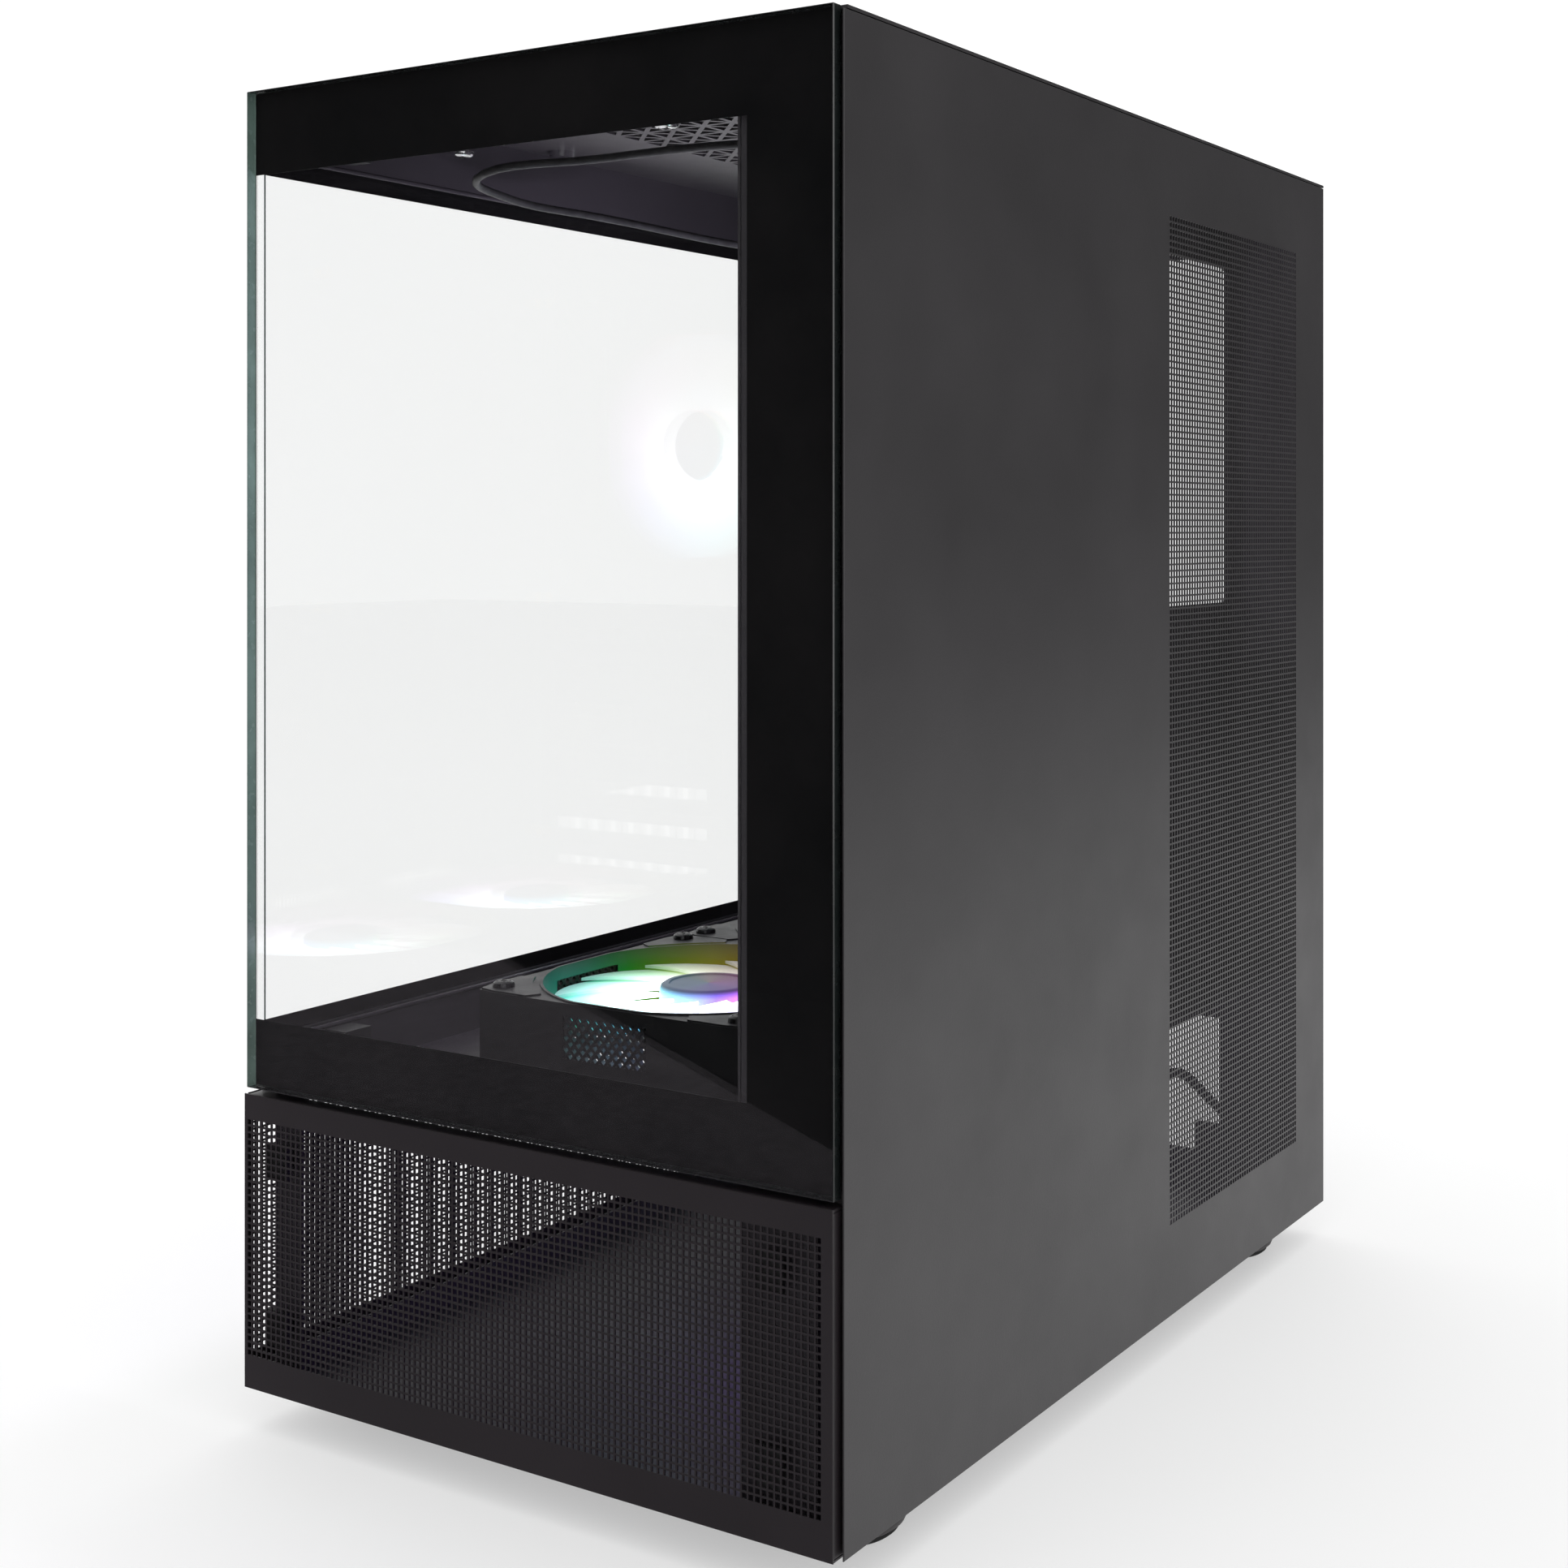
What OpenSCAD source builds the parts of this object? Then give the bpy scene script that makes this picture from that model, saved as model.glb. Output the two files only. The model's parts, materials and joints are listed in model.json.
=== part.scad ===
// Mid tower computer chassis with a glass corner and three lit fans.
// +X is the side of the steel panel, -Y is the front, +Z is up.
// The origin is on the surface that the feet stand on, under the middle of the whole.

/* [Overall] */
// Width over the outer skins
body_w = 242; // [236:1:300]
// Depth from the lower front cover to the rear edges of the skins
body_d = 380; // [370:1:480]
// Height without feet and top filter
body_h = 440; // [436:1:560]
// Height of the feet with their pads
foot_h = 14; // [8:1:30]

/* [Sheet metal] */
// Thickness of the chassis sheet
sheet = 1.0; // [0.8:0.1:1.5]
// Thickness of the lower front cover and of the lower left skin
cover_t = 1.2; // [1:0.1:1.6]
// Depth of the folded flanges
flange = 10; // [8:1:14]
// Clearance between pieces that come apart
fit = 0.3; // [0.2:0.05:0.5]

/* [Glass] */
// Thickness of both glasses
glass_t = 4; // [3:0.5:5]
// How far the lower skins stand proud of the glass
skin_step = 0.5; // [0:0.1:1]
// Gap between the front glass and the right skin
corner_gap = 1.9; // [1.5:0.1:3]
// Thickness of the brackets bonded to the glass
bracket_t = 2; // [1.5:0.5:3]
// Diameter of the ball studs
stud_d = 4; // [3:0.5:5]
// Length of the ball studs
stud_l = 8; // [6:1:10]

/* [Lower chamber] */
// Height of the shroud's upper face above the bottom of the body
deck_h = 101.5; // [100:0.5:130]
// Height of the solid band above the holes of the lower skins
band_top = 8.5; // [6:0.5:12]
// Height of the solid band below the holes of the lower skins
band_bottom = 11.4; // [8:0.1:16]
// Width of the solid band at the right end of the front cover
band_right = 4; // [3:0.5:8]

/* [Right panel vent] */
// Depth of the vent field
vent_d = 126; // [80:1:140]
// Height of the vent field
vent_h = 373.5; // [200:0.5:374]
// Distance of the vent field from the rear edge
vent_rear = 32.4; // [25:0.1:60]
// Distance of the vent field from the bottom edge
vent_low = 33.8; // [20:0.1:50]

/* [Fans] */
// Side of the square fan frame
fan_w = 120; // [110:1:120]
// Depth of the fan frame
fan_d = 25; // [25:1:30]
// Distance between neighbouring screw holes of a fan
fan_pitch = 105; // [96:0.5:105]
// Diameter of the fan hub
hub_d = 36; // [30:1:42]
// Thickness of the fan frame's walls
fan_wall = 1.75; // [1.5:0.25:3]
// Gap between the blade tips and the frame's walls
tip_gap = 1.75; // [1:0.25:3]
// Number of blades on a fan
blades = 9; // [7:1:11]
// Diameter of the fan shafts
shaft_d = 3; // [2.5:0.5:4]
// Sideways place of the two fans on the shroud
deck_fan_x = -23.6; // [-40:0.1:-10]
// Distance from the front to the middle of the first fan
deck_fan_y = 131.5; // [120:0.5:140]
// Sideways place of the rear fan
rear_fan_x = -36.7; // [-45:0.1:-36]
// Distance from the top down to the middle of the rear fan
rear_fan_drop = 107; // [95:1:115]

/* [Board area] */
// Distance from the right skin to the tray's inner face
tray_inset = 40.6; // [38:0.2:46]
// Height of the standoffs
standoff_h = 6.5; // [5:0.5:8]
// Distance from the top down to the input/output aperture
io_drop = 28; // [26:0.5:40]
// Height of the input/output aperture
io_h = 158.75; // [158.75:0.25:160]
// Width of the input/output aperture
io_w = 44.45; // [44.45:0.25:46]
// Distance between neighbouring expansion slots
slot_pitch = 20.32; // [20.32:0.01:20.34]
// Number of expansion slots
slots = 7; // [4:1:7]

/* [Controls and ports] */
// Diameter of the power button
power_d = 11; // [9:0.5:12]
// Diameter of the reset button
reset_d = 6; // [5:0.5:8]
// How far the buttons stand above their bezel
button_proud = 0.8; // [0.5:0.1:1.5]
// Travel of the buttons
button_travel = 0.8; // [0.5:0.1:1]

/* [Feet and filters] */
// Diameter of the feet
foot_d = 40; // [30:1:44]
// Thickness of the rubber pads
pad_t = 2; // [1.5:0.5:3]
// Thickness of the top filter's frame
filter_t = 1.6; // [1.2:0.1:2.5]
// Width of the filter frames' borders
filter_rim = 10; // [6:1:14]
// Length of the thumbscrew heads
thumb_l = 6; // [4:0.5:8]

/* [Hidden] */

// Outer limits
x_left = -body_w / 2;
x_right = body_w / 2;
y_front = -(body_d + thumb_l) / 2;
y_rear = y_front + body_d;
z_low = foot_h;
z_top = foot_h + body_h;

// Glass and what sits behind it
glass_y0 = y_front + skin_step;
glass_y1 = glass_y0 + glass_t;
glass_x0 = x_left + skin_step;
glass_x1 = glass_x0 + glass_t;
glass_right = x_right - corner_gap;
z_deck = z_low + deck_h;
glass_z0 = z_deck + 0.2;
frame_y = glass_y1 + bracket_t + fit;
frame_x = glass_x1 + bracket_t + fit;
socket_d = stud_l + 2;
socket_w = stud_d + 8;

// Parts bonded to the glass
bracket_h = 14;
bracket_low = glass_z0 + 3;
bracket_high = z_top - 22;
stud_z_low = glass_z0 + 9;
stud_z_high = z_top - 14;
stud_hole_d = stud_d + 2;

// Skins and frame on the right
skin_x = x_right - sheet;
frame_x1 = skin_x - flange - 0.5;
tray_x = x_right - tray_inset;
skin_front = y_front + 3;
skin_top = z_top - sheet - fit;
front_fold = 8;
rear_fold = flange + 5;
vent_bar = 3;

// Rear wall and its fold clearances
wall_y0 = y_rear - 2 * sheet - 0.2;
wall_y1 = y_rear - sheet - 0.2;

// Lower cover and skin
cover_top = z_deck - 1.8;
mesh_z0 = z_low + band_bottom;
mesh_z1 = cover_top - band_top;
return_d = 5;
pan_x0 = x_left + cover_t + return_d + 0.4;
pan_y0 = y_front + cover_t + return_d + 0.3;
post_x0 = pan_x0 + sheet + 0.5;
post_w = 12;
channel_d = 15;
deck_upstand = 16;
top_rail_h = 22;
rail_gap = 1;
channel_hole_w = 12;
channel_hole_h = 40;
channel_hole_pitch = 80;
post_gap = sheet + 1;

// Fans
fan_1_y = y_front + deck_fan_y;
fan_2_y = fan_1_y + fan_w;
rear_fan_z = z_top - rear_fan_drop;
bore_half = fan_w / 2 - fan_wall;
blade_r = bore_half - tip_gap;
fan_hole_d = 4.4;
floor_t = 3;
board_t = 1;
corner_r = bore_half + 2;
intake_r = 56;
strut_w = 6;
patch_w = 36;
patch_h = 15;
patch_z = 5;
blade_t = 1.6;
blade_chord = 28;
blade_tilt = 36;
cup_t = 2;
bearing_d = shaft_d + 4;
bearing_l = floor_t + board_t + 12;
coil_r = 7;
coil_h = 9;
pole_l = 12;
pole_w = 4;
screw_head_d = 8;
screw_head_h = 2.2;
screw_play = 0.4;
rotor_z0 = floor_t + board_t + 1;
rotor_z1 = fan_d - 2;

// Board interface
io_z1 = z_top - io_drop;
io_z0 = io_z1 - io_h;
io_x1 = tray_x - 4.3;
io_x0 = io_x1 - io_w;
slot_1_z = io_z0 - 17.5;
slot_x0 = io_x1 - 105;
slot_x1 = io_x1 - 4;
slot_screw_x = slot_x0 - 6;
slot_open_h = 13;
slot_cover_h = 18;
slot_cover_t = 0.9;
slot_vent_w = 8;
slot_vent_pitch = 12;
slot_vent_h = 6;
slot_vents = 8;
slot_screw_d = 3.4;
slot_head_d = 6.8;
slot_deck_gap = 1;
slots_above_deck = 1 + floor((slot_1_z - slot_cover_h / 2 - slot_deck_gap - z_deck) / slot_pitch);
slot_count = min(slots, slots_above_deck);
board_span_z = 281.94;
board_mid_z = 157.48;
board_span_y = 227.33;
board_mid_y = 154.94;
hole_y1 = wall_y0 - 11.2;
hole_z1 = io_z1;
standoff_x = tray_x - standoff_h;
standoff_r = 3.1;
standoff_bore = 2.8;
cutout_len = 121.2;
pass_w = 24;
pass_h = 56;
pass_front = hole_y1 - board_span_y - 42;
low_pass_h = 16;
standoff_ys = [hole_y1, hole_y1 - board_mid_y, hole_y1 - board_span_y];
standoff_zs = [hole_z1, hole_z1 - board_mid_z, hole_z1 - board_span_z];

// Power supply bay
psu_x = 3;
psu_half = 69;
psu_z0 = z_low + sheet + pad_t;
psu_hole_z = psu_z0 + 80;
psu_front = wall_y0 - 150;
psu_hole_d = 4;
psu_open_w = 116;
psu_open_z = [11, 75];
psu_wide_w = 141.6;
psu_wide_z = [24, 71];
psu_pad_x = 58;
psu_pad_w = 24;
psu_pad_l = 8;

// Controls on the top, over the right-hand compartment
io_x = (tray_x + frame_x1) / 2 + 0.5;
io_y0 = frame_y + 22;
io_len = 100;
io_wid = 18;
io_board_z = z_top - 15.6;
power_y = io_y0 + 12;
reset_y = power_y + 14;
audio_y = reset_y + 13;
usb_ys = [audio_y + 16, audio_y + 33];
usb_c_y = audio_y + 48;
switch_h = 4;
switch_w = 6;
plunger_h = 1;
plunger_r = 1.7;
stem_r = 2;
cap_h = 3.5;
bezel_proud = 0.6;
board_edge = 1.6;
usb_size = [6.8, 13.6];
usb_mouth = [5.2, 12.4];
usb_c_size = [5.2, 10.8];
usb_c_mouth = [3.2, 8.8];
port_floor = 2;
jack_w = 8;
jack_d = 3.6;
port_top = z_top - sheet - 0.2;

// Feet and filters
foot_x = body_w / 2 - foot_d / 2 - 9;
foot_y0 = y_front + 48;
foot_y1 = y_rear - 37;
top_filter_x0 = -95;
top_filter_x1 = 72;
top_filter_y0 = y_front + 45;
top_filter_y1 = y_rear - 25;
under_t = 2.2;
under_y0 = psu_front + 12;
under_half = 62;
rail_w = 2;
rail_z = z_low - under_t - 2 * fit;
filter_bar = 5;
hub_size = [13, 66, 100];
hub_at = [frame_y + 118, z_deck + 196];
bracket_at = [frame_y + 118, z_deck + 60];
bracket_size = [80, 106];
bracket_leg = 6;
bracket_leg_r = 3.5;
bracket_inset = 8;

// Fastenings
thumb_x = skin_x - 8;
thumb_z = 60;
thumb_r = 1.75;
clip_zs = [z_low + 22, cover_top - 22];
clip_r = 2.5;
clip_w = 10;
clip_h = 12;
clip_t = 2;
thumb_head_r = 5.5;
top_screw_r = 1.5;
top_head_r = 5;
top_head_h = 2.4;
foot_lip = 2.5;
clip_xs = [post_x0 + post_w / 2, frame_x1 - 14];

// Routes of the cables, chosen by hand
route_front = [[40, -110, 119], [52, -106, 118], [64, -92, 118], [76, -80, 122], [88, -72, 130],
    [94, -64, 160], [92, -58, 210], [94, -54, 260], [91, -48, 292], [88, -44, 310]];
route_rear = [[28, 164, 392], [36, 150, 412], [10, 110, 424], [-50, 40, 420], [-92, -40, 428],
    [-99, -86, 430], [-80, -120, 433], [-45, -100, 438], [9, -89, 440], [60, -86, 436],
    [80, -82, 423], [92, -74, 424], [96, -58, 430], [91, -46, 426], [88, -40, 413.5]];
route_io = [[95, -100, 434], [95, -104, 418], [99, -112, 380], [97, -114, 300], [98, -106, 200],
    [96, -90, 140], [95, -80, 112], [92, -50, 85], [88, 0, 58], [92, 50, 70], [88, 95, 84],
    [86, 140, 66], [92, 158, 42], [96, 130, 24], [90, 84, 20]];
cable_d = 3;

steel = "#3a3839";
black = "#1a191b";
dark = "#262427";

// ---------------------------------------------------------------- helpers

// A box between two corners
module box(x0, x1, y0, y1, z0, z1)
    translate([x0, y0, z0]) cube([x1 - x0, y1 - y0, z1 - z0]);

// A block about a middle in X and Y, between two heights
module block_at(x, y, size, z0, z1)
    translate([x - size[0] / 2, y - size[1] / 2, z0]) cube([size[0], size[1], z1 - z0]);

// A round rod along Z
module rod(x, y, z0, z1, r) translate([x, y, z0]) cylinder(h = z1 - z0, r = r, $fn = 32);

// A round rod along Y
module rod_y(x, y0, y1, z, r)
    translate([x, y0, z]) rotate([-90, 0, 0]) cylinder(h = y1 - y0, r = r, $fn = 32);

// A round rod along X
module rod_x(x0, x1, y, z, r) translate([x0, y, z]) rotate([0, 90, 0]) cylinder(h = x1 - x0, r = r, $fn = 32);

// Windows in a field of the XY plane, n by m, parted by bars
module windows(x0, x1, y0, y1, n, m, bar) {
    w = (x1 - x0 + bar) / n;
    h = (y1 - y0 + bar) / m;
    for (i = [0:n - 1]) for (j = [0:m - 1])
        translate([x0 + i * w, y0 + j * h]) square([w - bar, h - bar]);
}

// The open shape of a fan: a circle cut by the frame's straight walls
module fan_opening()
    intersection() {
        circle(r = corner_r, $fn = 64);
        square(2 * bore_half, center = true);
    }

// Places its children at a fan's four screw holes
module at_fan_holes()
    for (x = [-1, 1]) for (y = [-1, 1])
        translate([x * fan_pitch / 2, y * fan_pitch / 2]) children();

// Places a fan's own piece: fans 1 and 2 lie on the shroud, fan 3 stands at the rear wall
module at_fan(n) {
    if (n == 1) translate([deck_fan_x, fan_1_y, z_deck]) children();
    if (n == 2) translate([deck_fan_x, fan_2_y, z_deck]) children();
    if (n == 3) translate([rear_fan_x, wall_y0, rear_fan_z]) rotate([90, 0, 0]) children();
}

// A smooth route through hand-chosen points, with steps between each pair
function route_at(p, i, t) =
    let (a = p[max(i - 1, 0)], b = p[i], c = p[i + 1], d = p[min(i + 2, len(p) - 1)])
    0.5 * (2 * b + (c - a) * t + (2 * a - 5 * b + 4 * c - d) * t * t + (3 * b - a - 3 * c + d) * t * t * t);
function smooth(p, steps) = concat(
    [for (i = [0:len(p) - 2]) for (s = [0:steps - 1]) route_at(p, i, s / steps)], [p[len(p) - 1]]);
function unit(v) = v / norm(v);

// A round cable swept along a route
module cable(route, d, steps = 2, sides = 8) {
    p = smooth(route, steps);
    n = len(p);
    rings = [for (i = [0:n - 1])
        let (t = unit(p[min(i + 1, n - 1)] - p[max(i - 1, 0)]),
            u = unit(cross(t, [0.31, 0.27, 0.91])), v = cross(t, u))
        for (k = [0:sides - 1]) p[i] + d / 2 * (cos(k * 360 / sides) * u + sin(k * 360 / sides) * v)];
    walls = [for (i = [0:n - 2]) for (k = [0:sides - 1])
        let (a = i * sides + k, b = i * sides + (k + 1) % sides)
            each [[a, b, b + sides], [a, b + sides, a + sides]]];
    ends = [[for (k = [sides - 1:-1:0]) k], [for (k = [0:sides - 1]) (n - 1) * sides + k]];
    polyhedron(points = rings, faces = concat(walls, ends), convexity = 6);
}

// ---------------------------------------------------------------- chassis

module bottom_pan() color(steel)
    difference() {
        box(pan_x0, frame_x1, pan_y0, wall_y0, z_low, z_low + sheet);
        translate([psu_x, 0, z_low - 1]) linear_extrude(sheet + 2)
            windows(-50, 50, under_y0 + 14, wall_y0 - 18, 5, 5, 4);
    }

// The folded edges of the pan, and under it the rails of the filter
module pan_flanges() color(steel) {
    box(pan_x0, pan_x0 + sheet, pan_y0, wall_y0, z_low + sheet, z_low + flange);
    box(frame_x1 - sheet, frame_x1, frame_y + channel_d + rail_gap, wall_y0, z_low + sheet, z_low + flange);
    for (s = [-1, 1]) {
        mid = s * (under_half + rail_w / 2 + 0.5);
        box(mid - rail_w / 2, mid + rail_w / 2, under_y0, wall_y0, rail_z - sheet, z_low);
        box(mid - s - rail_w, mid - s + rail_w, under_y0, wall_y0, rail_z - sheet, rail_z);
    }
}

module rear_panel() color(steel)
    difference() {
        union() {
            box(glass_x1 + fit, frame_x1, wall_y0, wall_y1, z_low, z_top - sheet);
            box(x_left + cover_t + 0.1, frame_x1, wall_y0, wall_y1, z_low, cover_top);
            box(frame_x1 - 1, skin_x - fit, wall_y0, wall_y1, z_low + 3, z_top - 4);
        }
        box(io_x0, io_x1, wall_y0 - 1, wall_y1 + 1, io_z0, io_z1);
        translate([rear_fan_x, wall_y1 + 1, rear_fan_z]) rotate([90, 0, 0]) {
            linear_extrude(sheet + 2) difference() {
                circle(r = intake_r, $fn = 64);
                for (a = [0:45:135]) rotate(a) square([fan_w, strut_w / 2], center = true);
                for (r = [20, 32, 44]) difference() {
                    circle(r = r + 2, $fn = 64);
                    circle(r = r, $fn = 64);
                }
            }
            linear_extrude(sheet + 2) at_fan_holes() circle(d = fan_hole_d, $fn = 24);
        }
        for (i = [0:slot_count - 1])
            box(slot_x0, slot_x1, wall_y0 - 1, wall_y1 + 1,
                slot_1_z - i * slot_pitch - slot_open_h / 2, slot_1_z - i * slot_pitch + slot_open_h / 2);
        for (i = [0:slot_count - 1])
            rod_y(slot_screw_x, wall_y0 - 1, wall_y1 + 1, slot_1_z - i * slot_pitch, slot_screw_d / 2 + 0.05);
        box(psu_x - psu_open_w / 2, psu_x + psu_open_w / 2, wall_y0 - 1, wall_y1 + 1,
            psu_z0 + psu_open_z[0], psu_z0 + psu_open_z[1]);
        box(psu_x - psu_wide_w / 2, psu_x + psu_wide_w / 2, wall_y0 - 1, wall_y1 + 1,
            psu_z0 + psu_wide_z[0], psu_z0 + psu_wide_z[1]);
        for (s = [-1, 1])
            rod_y(psu_x + s * psu_half, wall_y0 - 1, wall_y1 + 1, psu_hole_z, psu_hole_d / 2);
        for (z = [z_low + thumb_z, z_top - thumb_z])
            rod_y(thumb_x, wall_y0 - 1, wall_y1 + 1, z, thumb_r + fit);
    }

module motherboard_tray() color(steel)
    difference() {
        box(tray_x, tray_x + sheet, frame_y + sheet, wall_y0, z_deck, z_top - sheet);
        translate([tray_x - 1, 0, 0]) rotate([90, 0, 90]) linear_extrude(sheet + 2) {
            offset(r = 8, $fn = 24) offset(delta = -8)
                translate([wall_y0 - 8 - cutout_len, io_z0 + 6]) square([cutout_len, io_h - 13]);
            for (z = [z_deck + 40, z_deck + 130, z_deck + 220])
                translate([pass_front, z]) square([pass_w, pass_h]);
            translate([pass_front, z_top - 40]) square([pass_w, low_pass_h]);
            for (y = [hole_y1 - 270, hole_y1 - 190, hole_y1 - 110])
                translate([y, z_deck + 2]) square([pass_h, low_pass_h]);
        }
    }

module psu_shroud() color(steel)
    difference() {
        union() {
            box(x_left + cover_t, frame_x1, frame_y, wall_y0, z_deck - sheet, z_deck);
            box(frame_x, tray_x, frame_y, frame_y + sheet, z_deck - sheet, z_deck + deck_upstand);
            box(frame_x, frame_x + sheet, frame_y, wall_y0, z_deck - sheet, z_deck + deck_upstand);
        }
        for (y = [fan_1_y, fan_2_y]) translate([deck_fan_x, y, z_deck - sheet - 1]) {
            linear_extrude(sheet + 2) difference() {
                circle(r = intake_r, $fn = 64);
                for (a = [0, 90]) rotate(a) square([fan_w, strut_w - 2], center = true);
            }
            linear_extrude(sheet + 2) at_fan_holes() circle(d = fan_hole_d, $fn = 24);
        }
        box(tray_x + 4, frame_x1 - 4, frame_y + 70, frame_y + 130, z_deck - sheet - 1, z_deck + 1);
        for (x = front_stud_xs())
            rod_y(x, frame_y - 1, frame_y + sheet + 1, stud_z_low, stud_hole_d / 2);
        for (y = side_stud_ys())
            rod_x(frame_x - 1, frame_x + sheet + 1, y, stud_z_low, stud_hole_d / 2);
    }

module top_panel() color(steel)
    difference() {
        box(glass_x1 + fit, x_right, glass_y1 + fit, y_rear, z_top - sheet, z_top);
        translate([0, 0, z_top - sheet - 1]) linear_extrude(sheet + 2)
            windows(top_filter_x0 + filter_rim + 6, top_filter_x1 - filter_rim - 6,
                top_filter_y0 + filter_rim + 6, top_filter_y1 - filter_rim - 6, 6, 12, filter_bar);
        box(io_x - io_wid / 2, io_x + io_wid / 2, io_y0, io_y0 + io_len, z_top - sheet - 1, z_top + 1);
        for (y = top_screw_ys()) rod(frame_x + 12, y, z_top - sheet - 1, z_top + 1, top_screw_r + 0.1);
    }

module top_rails() color(steel)
    difference() {
        union() {
            box(frame_x, tray_x, frame_y, frame_y + sheet, z_top - top_rail_h, z_top - sheet);
            box(frame_x, frame_x + sheet, frame_y, wall_y0, z_top - top_rail_h, z_top - sheet);
            box(frame_x1 - sheet, frame_x1, frame_y + channel_d + rail_gap, wall_y0,
                z_top - flange, z_top - sheet);
        }
        for (x = front_stud_xs())
            rod_y(x, frame_y - 1, frame_y + sheet + 1, stud_z_high, stud_hole_d / 2);
        for (y = side_stud_ys())
            rod_x(frame_x - 1, frame_x + sheet + 1, y, stud_z_high, stud_hole_d / 2);
    }

module left_corner_post() color(steel)
    difference() {
        union() {
            box(post_x0, post_x0 + post_w, frame_y, frame_y + sheet, z_low + sheet, z_deck - sheet);
            box(post_x0, post_x0 + sheet, frame_y, frame_y + flange, z_low + sheet, z_deck - sheet);
        }
        for (z = clip_zs) rod_y(clip_xs[0], frame_y - 1, frame_y + sheet + 1, z, clip_r + fit);
    }

module right_front_channel() color(steel)
    difference() {
        union() {
            box(tray_x + post_gap, frame_x1, frame_y, frame_y + sheet, z_low + sheet, z_deck - sheet);
            box(tray_x + post_gap, frame_x1, frame_y, frame_y + sheet, z_deck, z_top - sheet);
            for (x = [tray_x + post_gap, frame_x1 - sheet]) {
                box(x, x + sheet, frame_y, frame_y + channel_d, z_low + sheet, z_deck - sheet);
                box(x, x + sheet, frame_y, frame_y + channel_d, z_deck, z_top - sheet);
            }
        }
        for (z = clip_zs) rod_y(clip_xs[1], frame_y - 1, frame_y + sheet + 1, z, clip_r + fit);
        for (i = [0:2])
            translate([io_x - channel_hole_w / 2, frame_y - 1, z_deck + 60 + i * channel_hole_pitch])
                cube([channel_hole_w, sheet + 2, channel_hole_h]);
    }

module left_mesh_panel() color(dark)
    difference() {
        box(x_left, x_left + cover_t, y_front + cover_t + 0.2, y_rear, z_low, cover_top);
        translate([x_left - 1, 0, 0]) rotate([90, 0, 90]) linear_extrude(cover_t + 2)
            windows(y_front + 4, y_rear - 24, mesh_z0, mesh_z1, 18, 5, vent_bar);
    }

// The folded edges of the lower left skin
module left_mesh_returns() color(dark)
    for (z = [z_low, cover_top - sheet])
        box(x_left + cover_t, x_left + cover_t + return_d, y_front + cover_t + return_d + 0.3,
            wall_y0 - 0.2, z, z + sheet);

module feet() color(black)
    for (x = [-foot_x, foot_x]) for (y = [foot_y0, foot_y1])
        translate([x, y, 0]) rotate_extrude($fn = 64)
            polygon([[0, pad_t], [foot_d / 2 - foot_lip, pad_t], [foot_d / 2 - 1, pad_t + 1.5],
                [foot_d / 2, foot_h], [0, foot_h]]);

module foot_pads() color("#0f0f10")
    for (x = [-foot_x, foot_x]) for (y = [foot_y0, foot_y1])
        rod(x, y, 0, pad_t, foot_d / 2 - foot_lip - 1);

module motherboard_standoffs() color("#b08d45")
    for (y = standoff_ys) for (z = standoff_zs)
        translate([standoff_x, y, z]) rotate([0, 90, 0]) difference() {
            cylinder(h = standoff_h, r = standoff_r, $fn = 6);
            translate([0, 0, -1]) cylinder(h = standoff_h, d = standoff_bore, $fn = 24);
        }

module slot_covers() color(dark)
    for (i = [0:slot_count - 1]) let (z = slot_1_z - i * slot_pitch)
        difference() {
            box(slot_screw_x - 5, slot_x1 + 3, wall_y0 - slot_cover_t, wall_y0,
                z - slot_cover_h / 2, z + slot_cover_h / 2);
            for (k = [0:slot_vents - 1])
                translate([slot_x0 + 6 + k * slot_vent_pitch, wall_y0 - 2, z - slot_vent_h / 2])
                    cube([slot_vent_w, 3, slot_vent_h]);
            rod_y(slot_screw_x, wall_y0 - 2, wall_y0 + 1, z, slot_screw_d / 2 + 0.05);
        }

module slot_screws() color(black)
    for (i = [0:slot_count - 1]) let (z = slot_1_z - i * slot_pitch) {
        rod_y(slot_screw_x, wall_y1, wall_y1 + 2, z, slot_head_d / 2);
        rod_y(slot_screw_x, wall_y0 - 4, wall_y1, z, slot_screw_d / 2);
    }

function front_stud_xs() = [frame_x + 24, tray_x - 14];
function side_stud_ys() = [frame_y + 28, wall_y0 - 24];
function top_screw_ys() = [frame_y + 16, frame_y + 134, wall_y0 - 60];

// A block that a ball stud presses into
module socket() difference() {
    translate([-socket_w / 2, -socket_w / 2, 0]) cube([socket_w, socket_w, socket_d]);
    translate([0, 0, -1]) cylinder(h = socket_d - 1, d = stud_d + 2 * fit, $fn = 32);
}

module stud_sockets() color(black)
    for (z = [stud_z_low, stud_z_high]) {
        for (x = front_stud_xs()) translate([x, frame_y + sheet, z]) rotate([-90, 0, 0]) socket();
        for (y = side_stud_ys()) translate([frame_x + sheet, y, z]) rotate([0, 90, 0]) socket();
    }

// ---------------------------------------------------------------- controls

module front_io_board() color("#1c3a24")
    box(io_x - 8, io_x + 8, io_y0 + 2, io_y0 + io_len - 2, io_board_z - board_edge, io_board_z);

// A metal shell standing on the board, open at the top
module shell(y, size, mouth) difference() {
    block_at(io_x, y, size, io_board_z, port_top);
    block_at(io_x, y, mouth, io_board_z + port_floor, port_top + 1);
}

module usb_ports() color("#9a9ca0") {
    for (y = usb_ys) shell(y, usb_size, usb_mouth);
    shell(usb_c_y, usb_c_size, usb_c_mouth);
}

module audio_jack() color(black)
    difference() {
        block_at(io_x, audio_y, [jack_w, jack_w], io_board_z, port_top);
        rod(io_x, audio_y, io_board_z + port_floor, port_top + 1, jack_d / 2);
    }

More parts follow.
